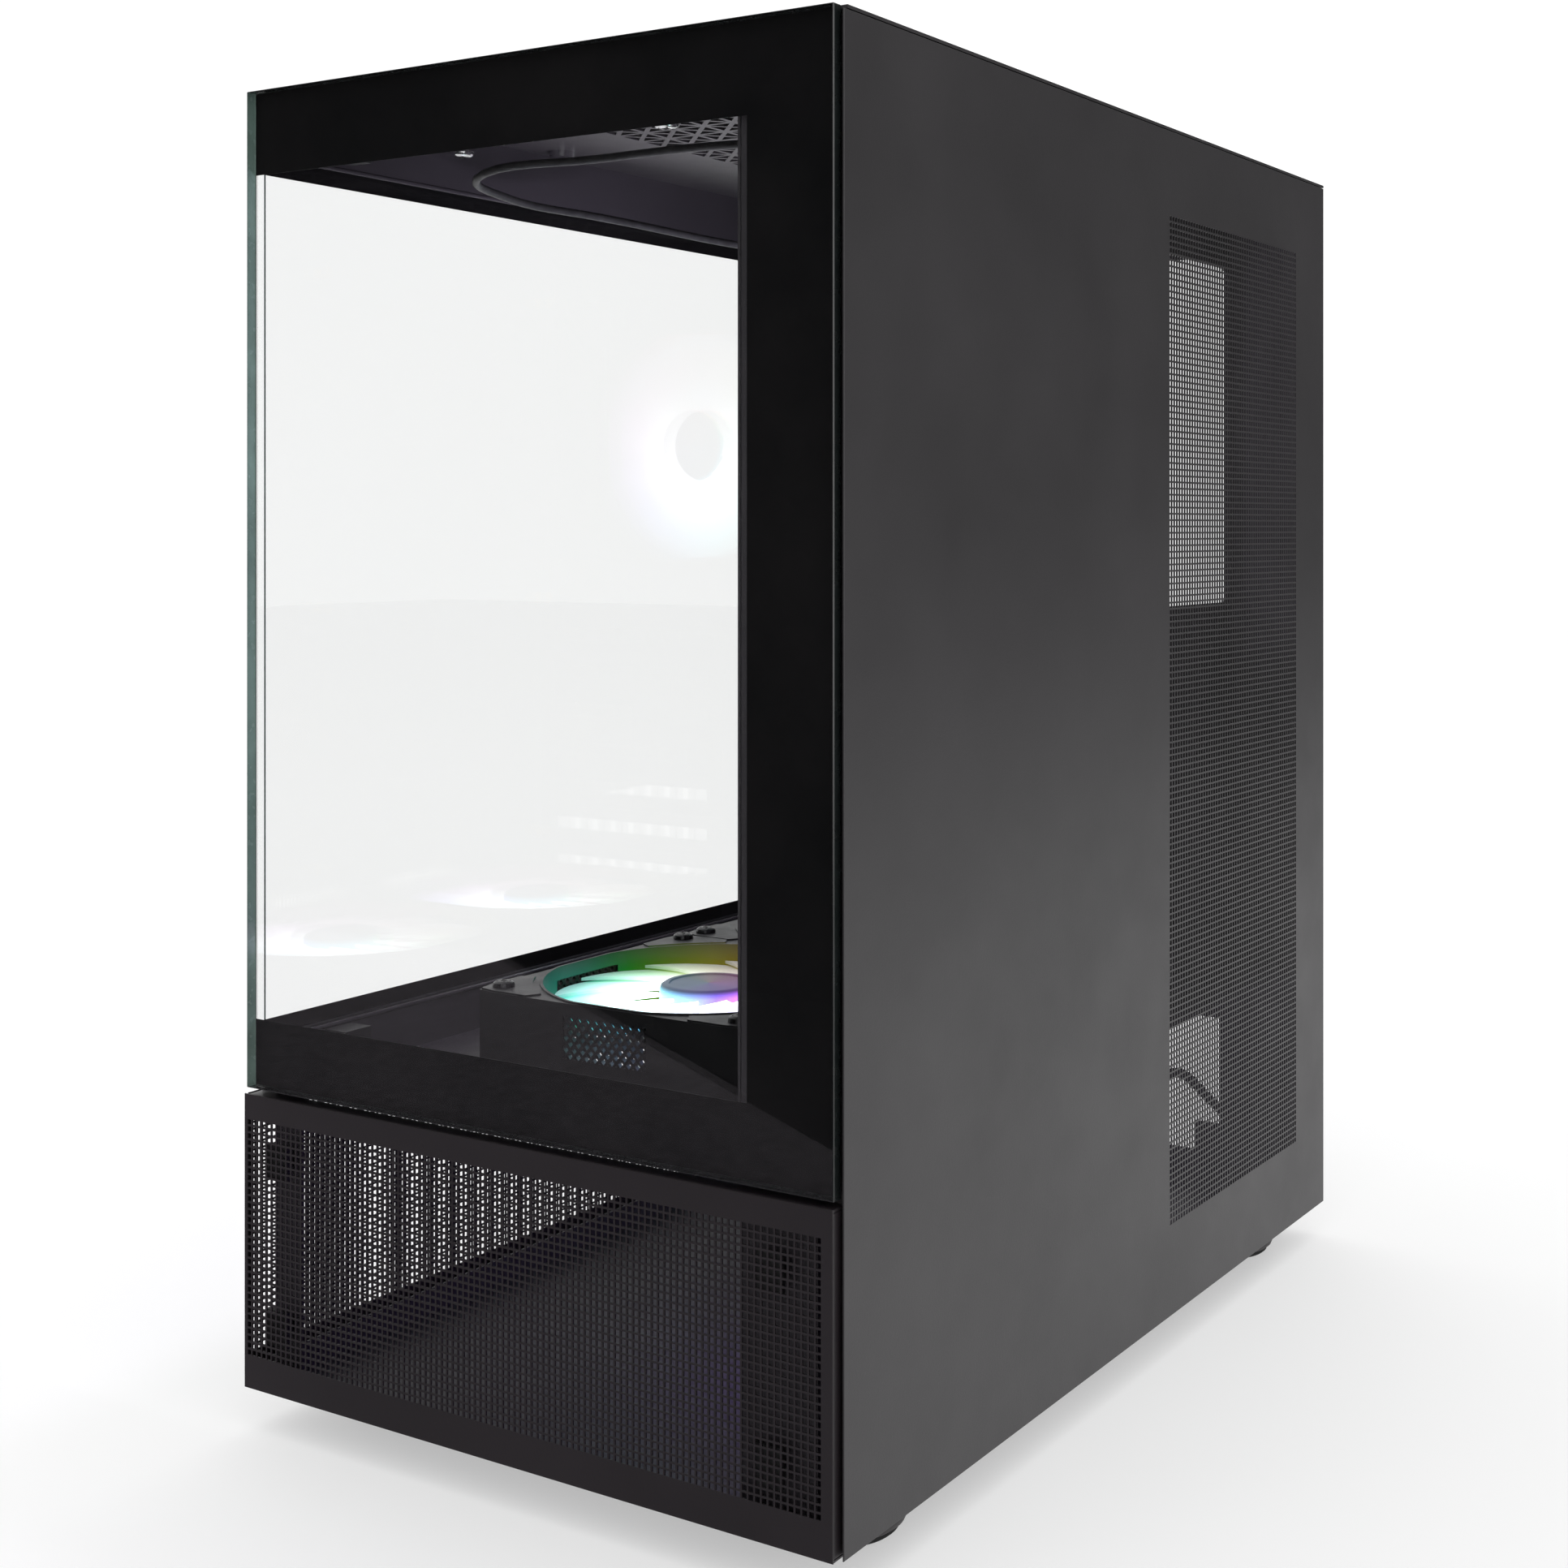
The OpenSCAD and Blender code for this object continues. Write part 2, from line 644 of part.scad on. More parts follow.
module front_io_bezel() color(black)
    difference() {
        box(io_x - io_wid / 2 + 0.1, io_x + io_wid / 2 - 0.1, io_y0 + 0.1, io_y0 + io_len - 0.1,
            z_top - sheet, z_top + bezel_proud);
        rod(io_x, power_y, z_top - 3, z_top + 2, power_d / 2 + fit);
        rod(io_x, reset_y, z_top - 3, z_top + 2, reset_d / 2 + fit);
        rod(io_x, audio_y, z_top - 3, z_top + 2, jack_d / 2 + 0.6);
        for (y = usb_ys) block_at(io_x, y, usb_mouth + [0.8, 0.8], z_top - 3, z_top + 2);
        block_at(io_x, usb_c_y, usb_c_mouth + [0.8, 0.8], z_top - 3, z_top + 2);
    }

// A small push switch standing on the board
module push_switch(y) {
    block_at(io_x, y, [switch_w, switch_w], io_board_z, io_board_z + switch_h);
    rod(io_x, y, io_board_z + switch_h, io_board_z + switch_h + plunger_h, plunger_r);
}

module push_switches() color(dark) {
    push_switch(power_y);
    push_switch(reset_y);
}

// A button cap with its stem, resting above its switch
module button(y, d) {
    rod(io_x, y, z_top - cap_h, z_top + bezel_proud + button_proud, d / 2);
    rod(io_x, y, io_board_z + switch_h + plunger_h + button_travel + 0.2, z_top - cap_h, stem_r);
}

module power_button() color("#2c2c30") button(power_y, power_d);

module reset_button() color("#2c2c30") button(reset_y, reset_d);

module fan_hub() color(black)
    difference() {
        translate([tray_x + sheet, hub_at[0], hub_at[1]]) cube(hub_size);
        for (k = [0:5])
            translate([tray_x + sheet + 6, hub_at[0] + 8, hub_at[1] + 10 + k * 14]) cube([8, 12, 8]);
    }

module drive_bracket() color(steel)
    difference() {
        union() {
            translate([tray_x + sheet + bracket_leg, bracket_at[0], bracket_at[1]])
                cube([sheet, bracket_size[0], bracket_size[1]]);
            for (y = [bracket_inset, bracket_size[0] - bracket_inset])
                for (z = [bracket_inset, bracket_size[1] - bracket_inset])
                    rod_x(tray_x + sheet, tray_x + sheet + bracket_leg,
                        bracket_at[0] + y, bracket_at[1] + z, bracket_leg_r);
        }
        for (z = [24, 60])
            translate([tray_x + sheet + bracket_leg - 1, bracket_at[0] + 20, bracket_at[1] + z])
                cube([sheet + 2, bracket_size[0] - 40, 24]);
    }

module psu_rest_pads() color("#0f0f10")
    for (s = [-1, 1]) for (y = [under_y0 + 2, wall_y0 - 14])
        block_at(psu_x + s * psu_pad_x, y + psu_pad_l / 2, [psu_pad_w, psu_pad_l],
            z_low + sheet, z_low + sheet + pad_t);

// ---------------------------------------------------------------- fans

module fan_frame() difference() {
    union() {
        linear_extrude(fan_d) difference() {
            square(fan_w, center = true);
            fan_opening();
        }
        linear_extrude(floor_t) {
            circle(d = hub_d, $fn = 64);
            for (a = [45:90:315]) rotate(a)
                translate([hub_d / 2 - 2, -strut_w / 2]) square([bore_half - hub_d / 2 + 12, strut_w]);
        }
    }
    translate([0, 0, -1]) linear_extrude(fan_d + 2) at_fan_holes() circle(d = fan_hole_d, $fn = 24);
    translate([0, 0, -1]) cylinder(h = floor_t + 2, d = bearing_d, $fn = 32);
    // each side wall has a window for its patch of small holes
    for (a = [0:90:270]) rotate(a)
        translate([-patch_w / 2, fan_w / 2 - fan_wall - 1, patch_z]) cube([patch_w, fan_wall + 2, patch_h]);
}

module fan_1_frame() color(black) at_fan(1) fan_frame();

module fan_2_frame() color(black) at_fan(2) fan_frame();

module fan_3_frame() color(black) at_fan(3) fan_frame();

// The ring boards with the lamps, lying on the frames' floors
module fan_led_boards() color("#e8e8ea")
    for (n = [1:3]) at_fan(n) translate([0, 0, floor_t]) linear_extrude(board_t) difference() {
        circle(d = hub_d - 3, $fn = 48);
        circle(d = bearing_d + 0.4, $fn = 32);
    }

module fan_stators() color("#9a5a32")
    for (n = [1:3]) at_fan(n)
        translate([0, 0, floor_t + board_t + 2]) linear_extrude(coil_h) difference() {
            union() {
                circle(r = coil_r, $fn = 32);
                for (a = [0:90:270]) rotate(a) translate([0, -pole_w / 2]) square([pole_l, pole_w]);
            }
            circle(d = bearing_d + 0.4, $fn = 32);
        }

module fan_bearings() color("#b8a070")
    for (n = [1:3]) at_fan(n) difference() {
        cylinder(h = bearing_l, d = bearing_d, $fn = 32);
        translate([0, 0, -1]) cylinder(h = bearing_l + 3, d = shaft_d + 0.1, $fn = 32);
    }

// Hub cup and blades: each blade is a tilted plate cut to the swept ring
module fan_rotor() difference() {
    union() {
        translate([0, 0, rotor_z0]) cylinder(h = rotor_z1 - rotor_z0, d = hub_d, $fn = 64);
        intersection() {
            translate([0, 0, rotor_z0]) linear_extrude(rotor_z1 - rotor_z0 - 1) difference() {
                circle(r = blade_r, $fn = 64);
                circle(r = hub_d / 2 - 1, $fn = 64);
            }
            for (i = [0:blades - 1]) rotate(i * 360 / blades)
                translate([hub_d / 2 - 2, 0, (rotor_z0 + rotor_z1) / 2]) rotate([blade_tilt, 0, 0])
                    translate([0, -blade_chord / 2, -blade_t / 2]) cube([blade_r, blade_chord, blade_t]);
        }
    }
    translate([0, 0, rotor_z0 - 1])
        cylinder(h = rotor_z1 - rotor_z0 + 1 - cup_t, d = hub_d - 2 * cup_t, $fn = 64);
}

module fan_1_rotor() color("#dfe4f5") at_fan(1) fan_rotor();

module fan_2_rotor() color("#dfe4f5") at_fan(2) fan_rotor();

module fan_3_rotor() color("#dfe4f5") at_fan(3) fan_rotor();

module fan_shaft() translate([0, 0, 1]) cylinder(h = rotor_z1 - 3, d = shaft_d, $fn = 32);

module fan_1_shaft() color("silver") at_fan(1) fan_shaft();

module fan_2_shaft() color("silver") at_fan(2) fan_shaft();

module fan_3_shaft() color("silver") at_fan(3) fan_shaft();

// Screws drop through the frame's corners on the shroud, and come in from outside at the rear
module fan_screws() color("#2a2a2c") {
    for (n = [1, 2]) at_fan(n) at_fan_holes() {
        translate([0, 0, fan_d]) cylinder(h = screw_head_h, d = screw_head_d, $fn = 32);
        translate([0, 0, -sheet - 2]) cylinder(h = fan_d + sheet + 2, d = fan_hole_d - screw_play, $fn = 24);
    }
    at_fan(3) at_fan_holes() {
        translate([0, 0, -sheet - 2]) cylinder(h = 2, d = screw_head_d, $fn = 32);
        translate([0, 0, -sheet]) cylinder(h = sheet + 10, d = fan_hole_d - screw_play, $fn = 24);
    }
}

module top_screws() color("#c8c8cc")
    for (y = top_screw_ys()) {
        rod(frame_x + 12, y, z_top - sheet - top_head_h, z_top - sheet, top_head_r);
        rod(frame_x + 12, y, z_top - sheet, z_top - 0.1, top_screw_r);
    }

module fan_cable_front() color(black) cable(route_front, cable_d);

module fan_cable_rear() color(black) cable(route_rear, cable_d);

module front_io_cable() color(black) cable(route_io, cable_d + 1);

// ---------------------------------------------------------------- glass

module front_glass() color([0.6, 0.7, 0.68, 0.3])
    box(glass_x0, glass_right, glass_y0, glass_y1, glass_z0, z_top);

module front_glass_brackets() color(black)
    for (z = [bracket_low, bracket_high])
        box(frame_x + 4, frame_x1, glass_y1, glass_y1 + bracket_t, z, z + bracket_h);

module front_glass_studs() color("silver")
    for (z = [stud_z_low, stud_z_high]) for (x = front_stud_xs())
        rod_y(x, glass_y1 + bracket_t, glass_y1 + bracket_t + stud_l, z, stud_d / 2);

module side_glass() color([0.6, 0.7, 0.68, 0.3])
    box(glass_x0, glass_x1, glass_y1 + 0.4, y_rear, glass_z0, z_top);

module side_glass_brackets() color(black)
    for (z = [bracket_low, bracket_high])
        box(glass_x1, glass_x1 + bracket_t, frame_y + 6, wall_y0 - 4, z, z + bracket_h);

module side_glass_studs() color("silver")
    for (z = [stud_z_low, stud_z_high]) for (y = side_stud_ys())
        rod_x(glass_x1 + bracket_t, glass_x1 + bracket_t + stud_l, y, z, stud_d / 2);

// ---------------------------------------------------------------- covers

module front_mesh_cover() color(dark)
    difference() {
        box(x_left, glass_right, y_front, y_front + cover_t, z_low, cover_top);
        translate([0, y_front + cover_t + 1, 0]) rotate([90, 0, 0]) linear_extrude(cover_t + 2)
            windows(x_left + 3, glass_right - band_right, mesh_z0, mesh_z1, 12, 5, vent_bar);
    }

// The folded edges of the lower front cover
module front_cover_returns() color(dark) {
    for (z = [z_low, cover_top - sheet])
        box(x_left + cover_t + 0.2, glass_right, y_front + cover_t, y_front + cover_t + return_d,
            z, z + sheet);
    box(glass_right - sheet, glass_right, y_front + cover_t, y_front + cover_t + return_d,
        z_low, cover_top);
}

module front_cover_clips() color(black)
    for (x = clip_xs) for (z = clip_zs)
        union() {
            translate([x - clip_w / 2, y_front + cover_t, z - clip_h / 2]) cube([clip_w, clip_t, clip_h]);
            rod_y(x, y_front + cover_t + clip_t, frame_y + sheet + 4, z, clip_r);
        }

module right_panel() color(steel)
    difference() {
        box(skin_x, x_right, skin_front, y_rear, z_low, skin_top);
        translate([skin_x - 1, 0, 0]) rotate([90, 0, 90]) linear_extrude(sheet + 2)
            windows(y_rear - vent_rear - vent_d, y_rear - vent_rear,
                z_low + vent_low, z_low + vent_low + vent_h, 5, 14, vent_bar);
    }

// The folded edges of the right panel
module right_panel_flanges() color(steel)
    difference() {
        union() {
            for (z = [z_low, skin_top - sheet])
                box(skin_x - flange, skin_x, frame_y, y_rear - sheet, z, z + sheet);
            box(skin_x - front_fold, skin_x, frame_y, frame_y + sheet, z_low, skin_top);
            box(skin_x - rear_fold, skin_x, y_rear - sheet, y_rear, z_low, skin_top);
        }
        for (z = [z_low + thumb_z, z_top - thumb_z])
            rod_y(thumb_x, y_rear - sheet - 1, y_rear + 1, z, thumb_r + 0.1);
    }

module panel_thumbscrews() color(dark)
    for (z = [z_low + thumb_z, z_top - thumb_z])
        union() {
            rod_y(thumb_x, y_rear, y_rear + thumb_l, z, thumb_head_r);
            rod_y(thumb_x, wall_y0 - 5, y_rear, z, thumb_r);
        }

module top_filter_frame() color(black)
    translate([0, 0, z_top]) linear_extrude(filter_t) difference() {
        translate([top_filter_x0, top_filter_y0])
            square([top_filter_x1 - top_filter_x0, top_filter_y1 - top_filter_y0]);
        translate([top_filter_x0 + filter_rim, top_filter_y0 + filter_rim])
            square([top_filter_x1 - top_filter_x0 - 2 * filter_rim,
                top_filter_y1 - top_filter_y0 - 2 * filter_rim]);
    }

module top_filter_mesh() color("#202022")
    box(top_filter_x0 + filter_rim, top_filter_x1 - filter_rim,
        top_filter_y0 + filter_rim, top_filter_y1 - filter_rim, z_top + 0.4, z_top + 0.8);

module psu_filter_frame() color(black)
    difference() {
        box(-under_half, under_half, under_y0 + 4, y_rear - 2, z_low - under_t - 0.3, z_low - 0.3);
        box(-under_half + filter_rim, under_half - filter_rim, under_y0 + 4 + filter_rim, wall_y0 - 14,
            z_low - under_t - 1, z_low);
    }

module psu_filter_mesh() color("#202022")
    box(-under_half + filter_rim, under_half - filter_rim, under_y0 + 4 + filter_rim, wall_y0 - 14,
        z_low - 1.4, z_low - 1);

bottom_pan();
pan_flanges();
rear_panel();
motherboard_tray();
psu_shroud();
top_panel();
top_rails();
left_corner_post();
right_front_channel();
left_mesh_panel();
left_mesh_returns();
feet();
foot_pads();
motherboard_standoffs();
slot_covers();
slot_screws();
stud_sockets();
front_io_board();
usb_ports();
audio_jack();
front_io_bezel();
push_switches();
fan_hub();
drive_bracket();
psu_rest_pads();
fan_1_frame();
fan_2_frame();
fan_3_frame();
fan_led_boards();
fan_stators();
fan_bearings();
fan_screws();
top_screws();
fan_cable_front();
fan_cable_rear();
front_io_cable();
fan_1_rotor();
fan_1_shaft();
fan_2_rotor();
fan_2_shaft();
fan_3_rotor();
fan_3_shaft();
power_button();
reset_button();
front_glass();
front_glass_brackets();
front_glass_studs();
side_glass();
side_glass_brackets();
side_glass_studs();
front_mesh_cover();
front_cover_returns();
front_cover_clips();
right_panel();
right_panel_flanges();
panel_thumbscrews();
top_filter_frame();
top_filter_mesh();
psu_filter_frame();
psu_filter_mesh();
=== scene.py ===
"""Visual model of a mid tower computer chassis with a glass corner and lit fans."""

import json
import math

import bmesh
import bpy
from mathutils import Matrix, Vector


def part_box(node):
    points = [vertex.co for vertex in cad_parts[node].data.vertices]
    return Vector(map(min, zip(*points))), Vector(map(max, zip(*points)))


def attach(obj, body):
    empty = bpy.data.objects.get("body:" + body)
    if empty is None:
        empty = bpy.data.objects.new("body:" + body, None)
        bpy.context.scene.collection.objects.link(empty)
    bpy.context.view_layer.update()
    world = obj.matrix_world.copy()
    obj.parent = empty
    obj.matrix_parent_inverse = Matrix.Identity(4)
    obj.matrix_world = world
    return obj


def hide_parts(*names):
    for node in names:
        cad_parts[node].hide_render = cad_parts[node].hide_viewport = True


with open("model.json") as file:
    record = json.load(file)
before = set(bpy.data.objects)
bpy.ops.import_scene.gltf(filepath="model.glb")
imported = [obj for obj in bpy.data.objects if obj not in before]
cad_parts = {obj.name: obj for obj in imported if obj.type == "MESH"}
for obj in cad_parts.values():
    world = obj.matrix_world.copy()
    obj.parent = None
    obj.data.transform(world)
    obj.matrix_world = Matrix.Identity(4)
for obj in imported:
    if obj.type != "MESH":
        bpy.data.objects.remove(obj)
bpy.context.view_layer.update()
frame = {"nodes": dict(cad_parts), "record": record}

bl_info = {
    "name": "Tower Chassis",
    "version": (1, 0, 0),
    "blender": (4, 5, 0),
    "location": "View3D > Sidebar > Tower",
    "description": "Builds the skins, glass, fans and finishes of a mid tower chassis",
    "category": "Add Mesh",
}

MM = 0.001
UP = Vector((0, 0, 1))
QUARTER = math.radians(90)
SHEET = 1 * MM  # folded sheet metal
FOLD = 0.3 * MM  # rounding of a folded edge
TINY = 1e-6
AXIS = None  # stands for the axis in the points of a profile
FANS = (1, 2, 3)
TURNS_45 = [math.radians(45 + 90 * k) for k in range(4)]

STRAIGHT_MIRROR = 0.035  # share that glass mirrors when looked at straight

# light of the fans
RING_SATURATION = 0.97
LEFT_HUE_SHIFT = 0.13  # the rainbow runs on faster round the -X side
FRONT_SHARE = 0.75  # how much brighter the -Y side is
# the bore's share is light painted on the walls of the frame's bore
HUB_GLOW, BORE_PAINTED_GLOW = 0.9, 0.1  # shares of the blades' light


# ---- properties


def length_property(name, description, default):
    """A size in millimetres as a property."""
    return bpy.props.FloatProperty(
        name=name, description=description, default=default * MM, unit="LENGTH"
    )


def number_property(name, description, default, low=-1.0, high=100.0):
    """A plain number as a property."""
    return bpy.props.FloatProperty(
        name=name, description=description, default=default, min=low, max=high
    )


def colour_property(name, description, default):
    """A colour as a property."""
    return bpy.props.FloatVectorProperty(
        name=name, description=description, default=default, subtype="COLOR"
    )


class TowerSizes(bpy.types.PropertyGroup):
    """Sizes of the details that the frame leaves to the visual model."""

    hole_pitch: length_property("Hole pitch", "Distance between neighbouring square holes", 2.35)
    skin_sheet: length_property("Skin sheet", "Thickness of the perforated sheets", 0.5)
    hole_share: number_property("Hole share", "Width of a hole over the pitch", 0.72, 0.3, 0.9)
    edge_radius: length_property("Edge radius", "Rounding of the sheet metal edges", 0.2)
    print_top: length_property("Top print", "Height of the print along the glasses' top", 28)
    print_bottom: length_property("Bottom print", "Height of the print along the bottom", 22.6)
    print_right: length_property("Right print", "Width of the front glass's right band", 32.9)
    print_rear: length_property("Rear print", "Width of the side glass's rear band", 24)
    blade_count: bpy.props.IntProperty(
        name="Blades", description="Number of blades on a fan", default=11, min=5, max=13
    )


class TowerFinish(bpy.types.PropertyGroup):
    """Colours and strengths of the finishes."""

    skin_colour: colour_property("Skin", "Coat of the side and top skins", (0.031, 0.029, 0.031))
    cover_colour: colour_property("Cover", "Coat of the lower covers", (0.015, 0.012, 0.014))
    inner_colour: colour_property("Inner steel", "Coat of the chassis", (0.034, 0.031, 0.036))
    glass_tint: colour_property("Glass tint", "Light let through a face", (0.986, 0.988, 0.987))
    glow: number_property("Fan glow", "Strength of the light from the fans", 3.2, 0)
    first_hue: number_property("First hue", "Place in the rainbow of a fan's +X side", -0.21)
    studio: number_property("Studio light", "Strength of the surrounding light", 1.09, 0)


def sizes():
    return bpy.context.scene.tower_sizes


def finish():
    return bpy.context.scene.tower_finish


# ---- node helpers


MATERIALS = {}


class Shader:
    """A material's node tree, built a node at a time."""

    def __init__(self, name):
        self.material = MATERIALS[name] = bpy.data.materials.new(name)
        self.material.use_nodes = True
        self.tree = self.material.node_tree
        self.tree.nodes.clear()
        self.out = self.node("ShaderNodeOutputMaterial")

    def node(self, kind, **values):
        n = self.tree.nodes.new(kind)
        for key, value in values.items():
            if hasattr(n, key):
                setattr(n, key, value)
            else:
                n.inputs[key.replace("_", " ")].default_value = value
        return n

    def link(self, source, target):
        self.tree.links.new(source, target)

    def coords(self, offset=(0, 0, 0), scale=(1, 1, 1), rotation=(0, 0, 0)):
        place = self.node("ShaderNodeTexCoord")
        mapping = self.node("ShaderNodeMapping", Location=offset, Rotation=rotation, Scale=scale)
        self.link(place.outputs["Object"], mapping.inputs["Vector"])
        return mapping.outputs["Vector"]

    def noise(self, scale, detail=2.0, roughness=0.5, vector=None):
        n = self.node("ShaderNodeTexNoise", Scale=scale, Detail=detail, Roughness=roughness)
        self.link(vector if vector is not None else self.coords(), n.inputs["Vector"])
        return n.outputs["Fac"]

    def spread(self, value, low, high, from_low=0.3, from_high=0.7):
        limits = dict(From_Min=from_low, From_Max=from_high, To_Min=low, To_Max=high)
        n = self.node("ShaderNodeMapRange", **limits)
        self.link(value, n.inputs["Value"])
        return n.outputs["Result"]

    def shade(self, factor, dark, light):
        n = self.node("ShaderNodeMix", data_type="RGBA", A=(*dark, 1), B=(*light, 1))
        self.link(factor, n.inputs["Factor"])
        return n.outputs["Result"]

    def math(self, operation, a, b=None, clamp=False):
        n = self.node("ShaderNodeMath", operation=operation, use_clamp=clamp)
        for socket, value in zip(n.inputs, (a, b)):
            if value is None:
                continue
            if isinstance(value, (int, float)):
                socket.default_value = value
            else:
                self.link(value, socket)
        return n.outputs["Value"]

    def product(self, a, b):
        return self.math("MULTIPLY", a, b)

    def total(self, a, b):
        return self.math("ADD", a, b)

    def feed(self, value, name):
        """Links a value to an input of the surface."""
        self.link(value, self.surface.inputs[name])

    def principled(self, **values):
        self.surface = self.node("ShaderNodeBsdfPrincipled", **values)
        self.link(self.surface.outputs["BSDF"], self.out.inputs["Surface"])

    def base(self, drift, dark, light):
        """Base colour that drifts between two shades."""
        self.feed(self.shade(self.spread(drift, 0, 1), dark, light), "Base Color")

    def rough(self, value, low, high):
        """Roughness that wanders between two values."""
        self.feed(self.spread(value, low, high), "Roughness")

    def grain(self, height, strength, distance):
        """Fine relief of the surface."""
        n = self.node("ShaderNodeBump", Strength=strength, Distance=distance)
        self.link(height, n.inputs["Height"])
        self.feed(n.outputs["Normal"], "Normal")


def tint(colour, factor):
    return tuple(min(c * factor, 1) for c in colour)


# ---- finishes


def powder_coat(name, colour, rough=0.42, grain=1100, strength=0.22):
    """Baked powder coat: fine orange peel, with slow drifts of shade and sheen."""
    s = Shader(name)
    s.principled(Specular_IOR_Level=0.45)
    drift = s.noise(9, 3, 0.6)
    s.base(drift, tint(colour, 0.86), tint(colour, 1.14))
    peel = s.noise(grain, 2, 0.55)
    speck = s.noise(grain * 3.2, 1, 0.5)
    sheen = s.product(s.spread(s.noise(22, 4, 0.65), 0.9, 1.1), s.spread(speck, 0.9, 1.1))
    s.feed(s.product(sheen, rough), "Roughness")
    s.grain(s.total(peel, s.product(speck, 0.4)), strength, 0.00012)


def moulded(name, colour, rough=0.5, grain=2600):
    """Moulded plastic with a fine spark-eroded grain."""
    s = Shader(name)
    s.principled(Specular_IOR_Level=0.5)
    s.base(s.noise(30, 3), tint(colour, 0.85), tint(colour, 1.15))
    s.rough(s.noise(60, 4, 0.7), rough * 0.85, rough * 1.15)
    s.grain(s.noise(grain, 2), 0.25, 0.00006)


def metal(name, colour, rough=0.28, scratch=(1, 1, 1)):
    """Bare or plated metal, with fine scratches along the stretched axis."""
    s = Shader(name)
    s.principled(Metallic=1.0)
    s.base(s.noise(80, 3), tint(colour, 0.82), tint(colour, 1.1))
    lines = s.noise(900, 3, 0.6, s.coords(scale=scratch))
    s.rough(lines, rough * 0.7, rough * 1.35)
    s.grain(lines, 0.12, 0.00004)


def soft_rubber(name, colour, rough=0.8):
    """Dusty matte rubber."""
    s = Shader(name)
    s.principled(Specular_IOR_Level=0.3)
    s.base(s.noise(140, 5, 0.7), tint(colour, 0.7), tint(colour, 1.6))
    s.rough(s.noise(420, 3), rough * 0.9, min(rough * 1.12, 1))
    s.grain(s.noise(1500, 3), 0.35, 0.0001)


def solder_mask(name, colour):
    """Lacquered circuit board with faint tracks under the lacquer."""
    s = Shader(name)
    s.principled(Specular_IOR_Level=0.5, Coat_Weight=0.4, Coat_Roughness=0.2)
    shades = {"Color1": 1, "Color2": 1.3, "Mortar": 0.6}
    shades = {key: (*tint(colour, share), 1) for key, share in shades.items()}
    tracks = s.node("ShaderNodeTexBrick", Scale=240, **shades)
    s.link(s.coords(), tracks.inputs["Vector"])
    s.feed(tracks.outputs["Color"], "Base Color")
    s.rough(s.noise(200, 2), 0.3, 0.45)
    s.grain(tracks.outputs["Fac"], 0.15, 0.0001)


def clear_glass(name, colour):
    """Flat tempered glass: it bends nothing, and mirrors more at a glancing view."""
    s = Shader(name)
    through = s.node("ShaderNodeBsdfTransparent", Color=(*colour, 1))
    mirror = s.node("ShaderNodeBsdfGlossy", Color=(1, 1, 1, 1))
    s.link(s.spread(s.noise(50, 3), 0.0, 0.02), mirror.inputs["Roughness"])
    slant = s.node("ShaderNodeLayerWeight", Blend=0.5)
    glancing = s.math("POWER", slant.outputs["Facing"], 5.0)
    share = s.total(s.product(glancing, 1 - STRAIGHT_MIRROR), STRAIGHT_MIRROR)
    blend = s.node("ShaderNodeMixShader")
    s.link(share, blend.inputs["Fac"])
    s.link(through.outputs["BSDF"], blend.inputs[1])
    s.link(mirror.outputs["BSDF"], blend.inputs[2])
    s.link(blend.outputs["Shader"], s.out.inputs["Surface"])


def glass_rim(name, colour):
    """The ground and polished edge of the glass, green from the depth of glass behind it."""
    s = Shader(name)
    s.principled(Specular_IOR_Level=0.6, Coat_Weight=0.5, Coat_Roughness=0.1)
    s.base(s.noise(70, 4), tint(colour, 0.8), tint(colour, 1.25))
    s.rough(s.noise(300, 2), 0.16, 0.3)
    s.grain(s.noise(1400, 2), 0.1, 0.00005)


def fired_print(name):
    """Black ceramic print fired on the back of the glass."""
    s = Shader(name)
    s.principled(Specular_IOR_Level=0.06)
    s.base(s.noise(25, 3), (0.004, 0.004, 0.0045), (0.007, 0.0065, 0.007))
    s.rough(s.noise(400, 2), 0.35, 0.5)
    s.grain(s.noise(2400, 2), 0.1, 0.00004)


def ring_colour(s, centre, axis):
    """The colour of a fan's light at a point, its radius, its depth and the share of its side."""
    x, y, z = centre
    if axis == "Z":
        vector = s.coords(offset=(-x, -y, -z))
    else:
        vector = s.coords(offset=(-x, -z, y), rotation=(-QUARTER, 0, 0))
    parts = s.node("ShaderNodeSeparateXYZ")
    s.link(vector, parts.inputs["Vector"])
    x, y, depth = (parts.outputs[key] for key in "XYZ")
    turn = s.math("DIVIDE", s.math("ARCTAN2", y, x), 2 * math.pi)
    radius = s.math("SQRT", s.total(s.math("POWER", x, 2), s.math("POWER", y, 2)))
    left = s.math("MAXIMUM", s.math("DIVIDE", x, s.product(radius, -1)), 0)
    turn = s.total(turn, s.product(s.math("POWER", left, 3), LEFT_HUE_SHIFT))
    colour = s.node("ShaderNodeCombineColor", mode="HSV")
    hue, saturation, value = colour.inputs
    s.link(s.math("FRACT", s.total(turn, finish().first_hue + 1.0)), hue)
    saturation.default_value, value.default_value = RING_SATURATION, 1.0
    lean = s.product(s.math("DIVIDE", y, radius), FRONT_SHARE)
    return colour.outputs["Color"], radius, depth, s.math("SUBTRACT", 1.0, lean)


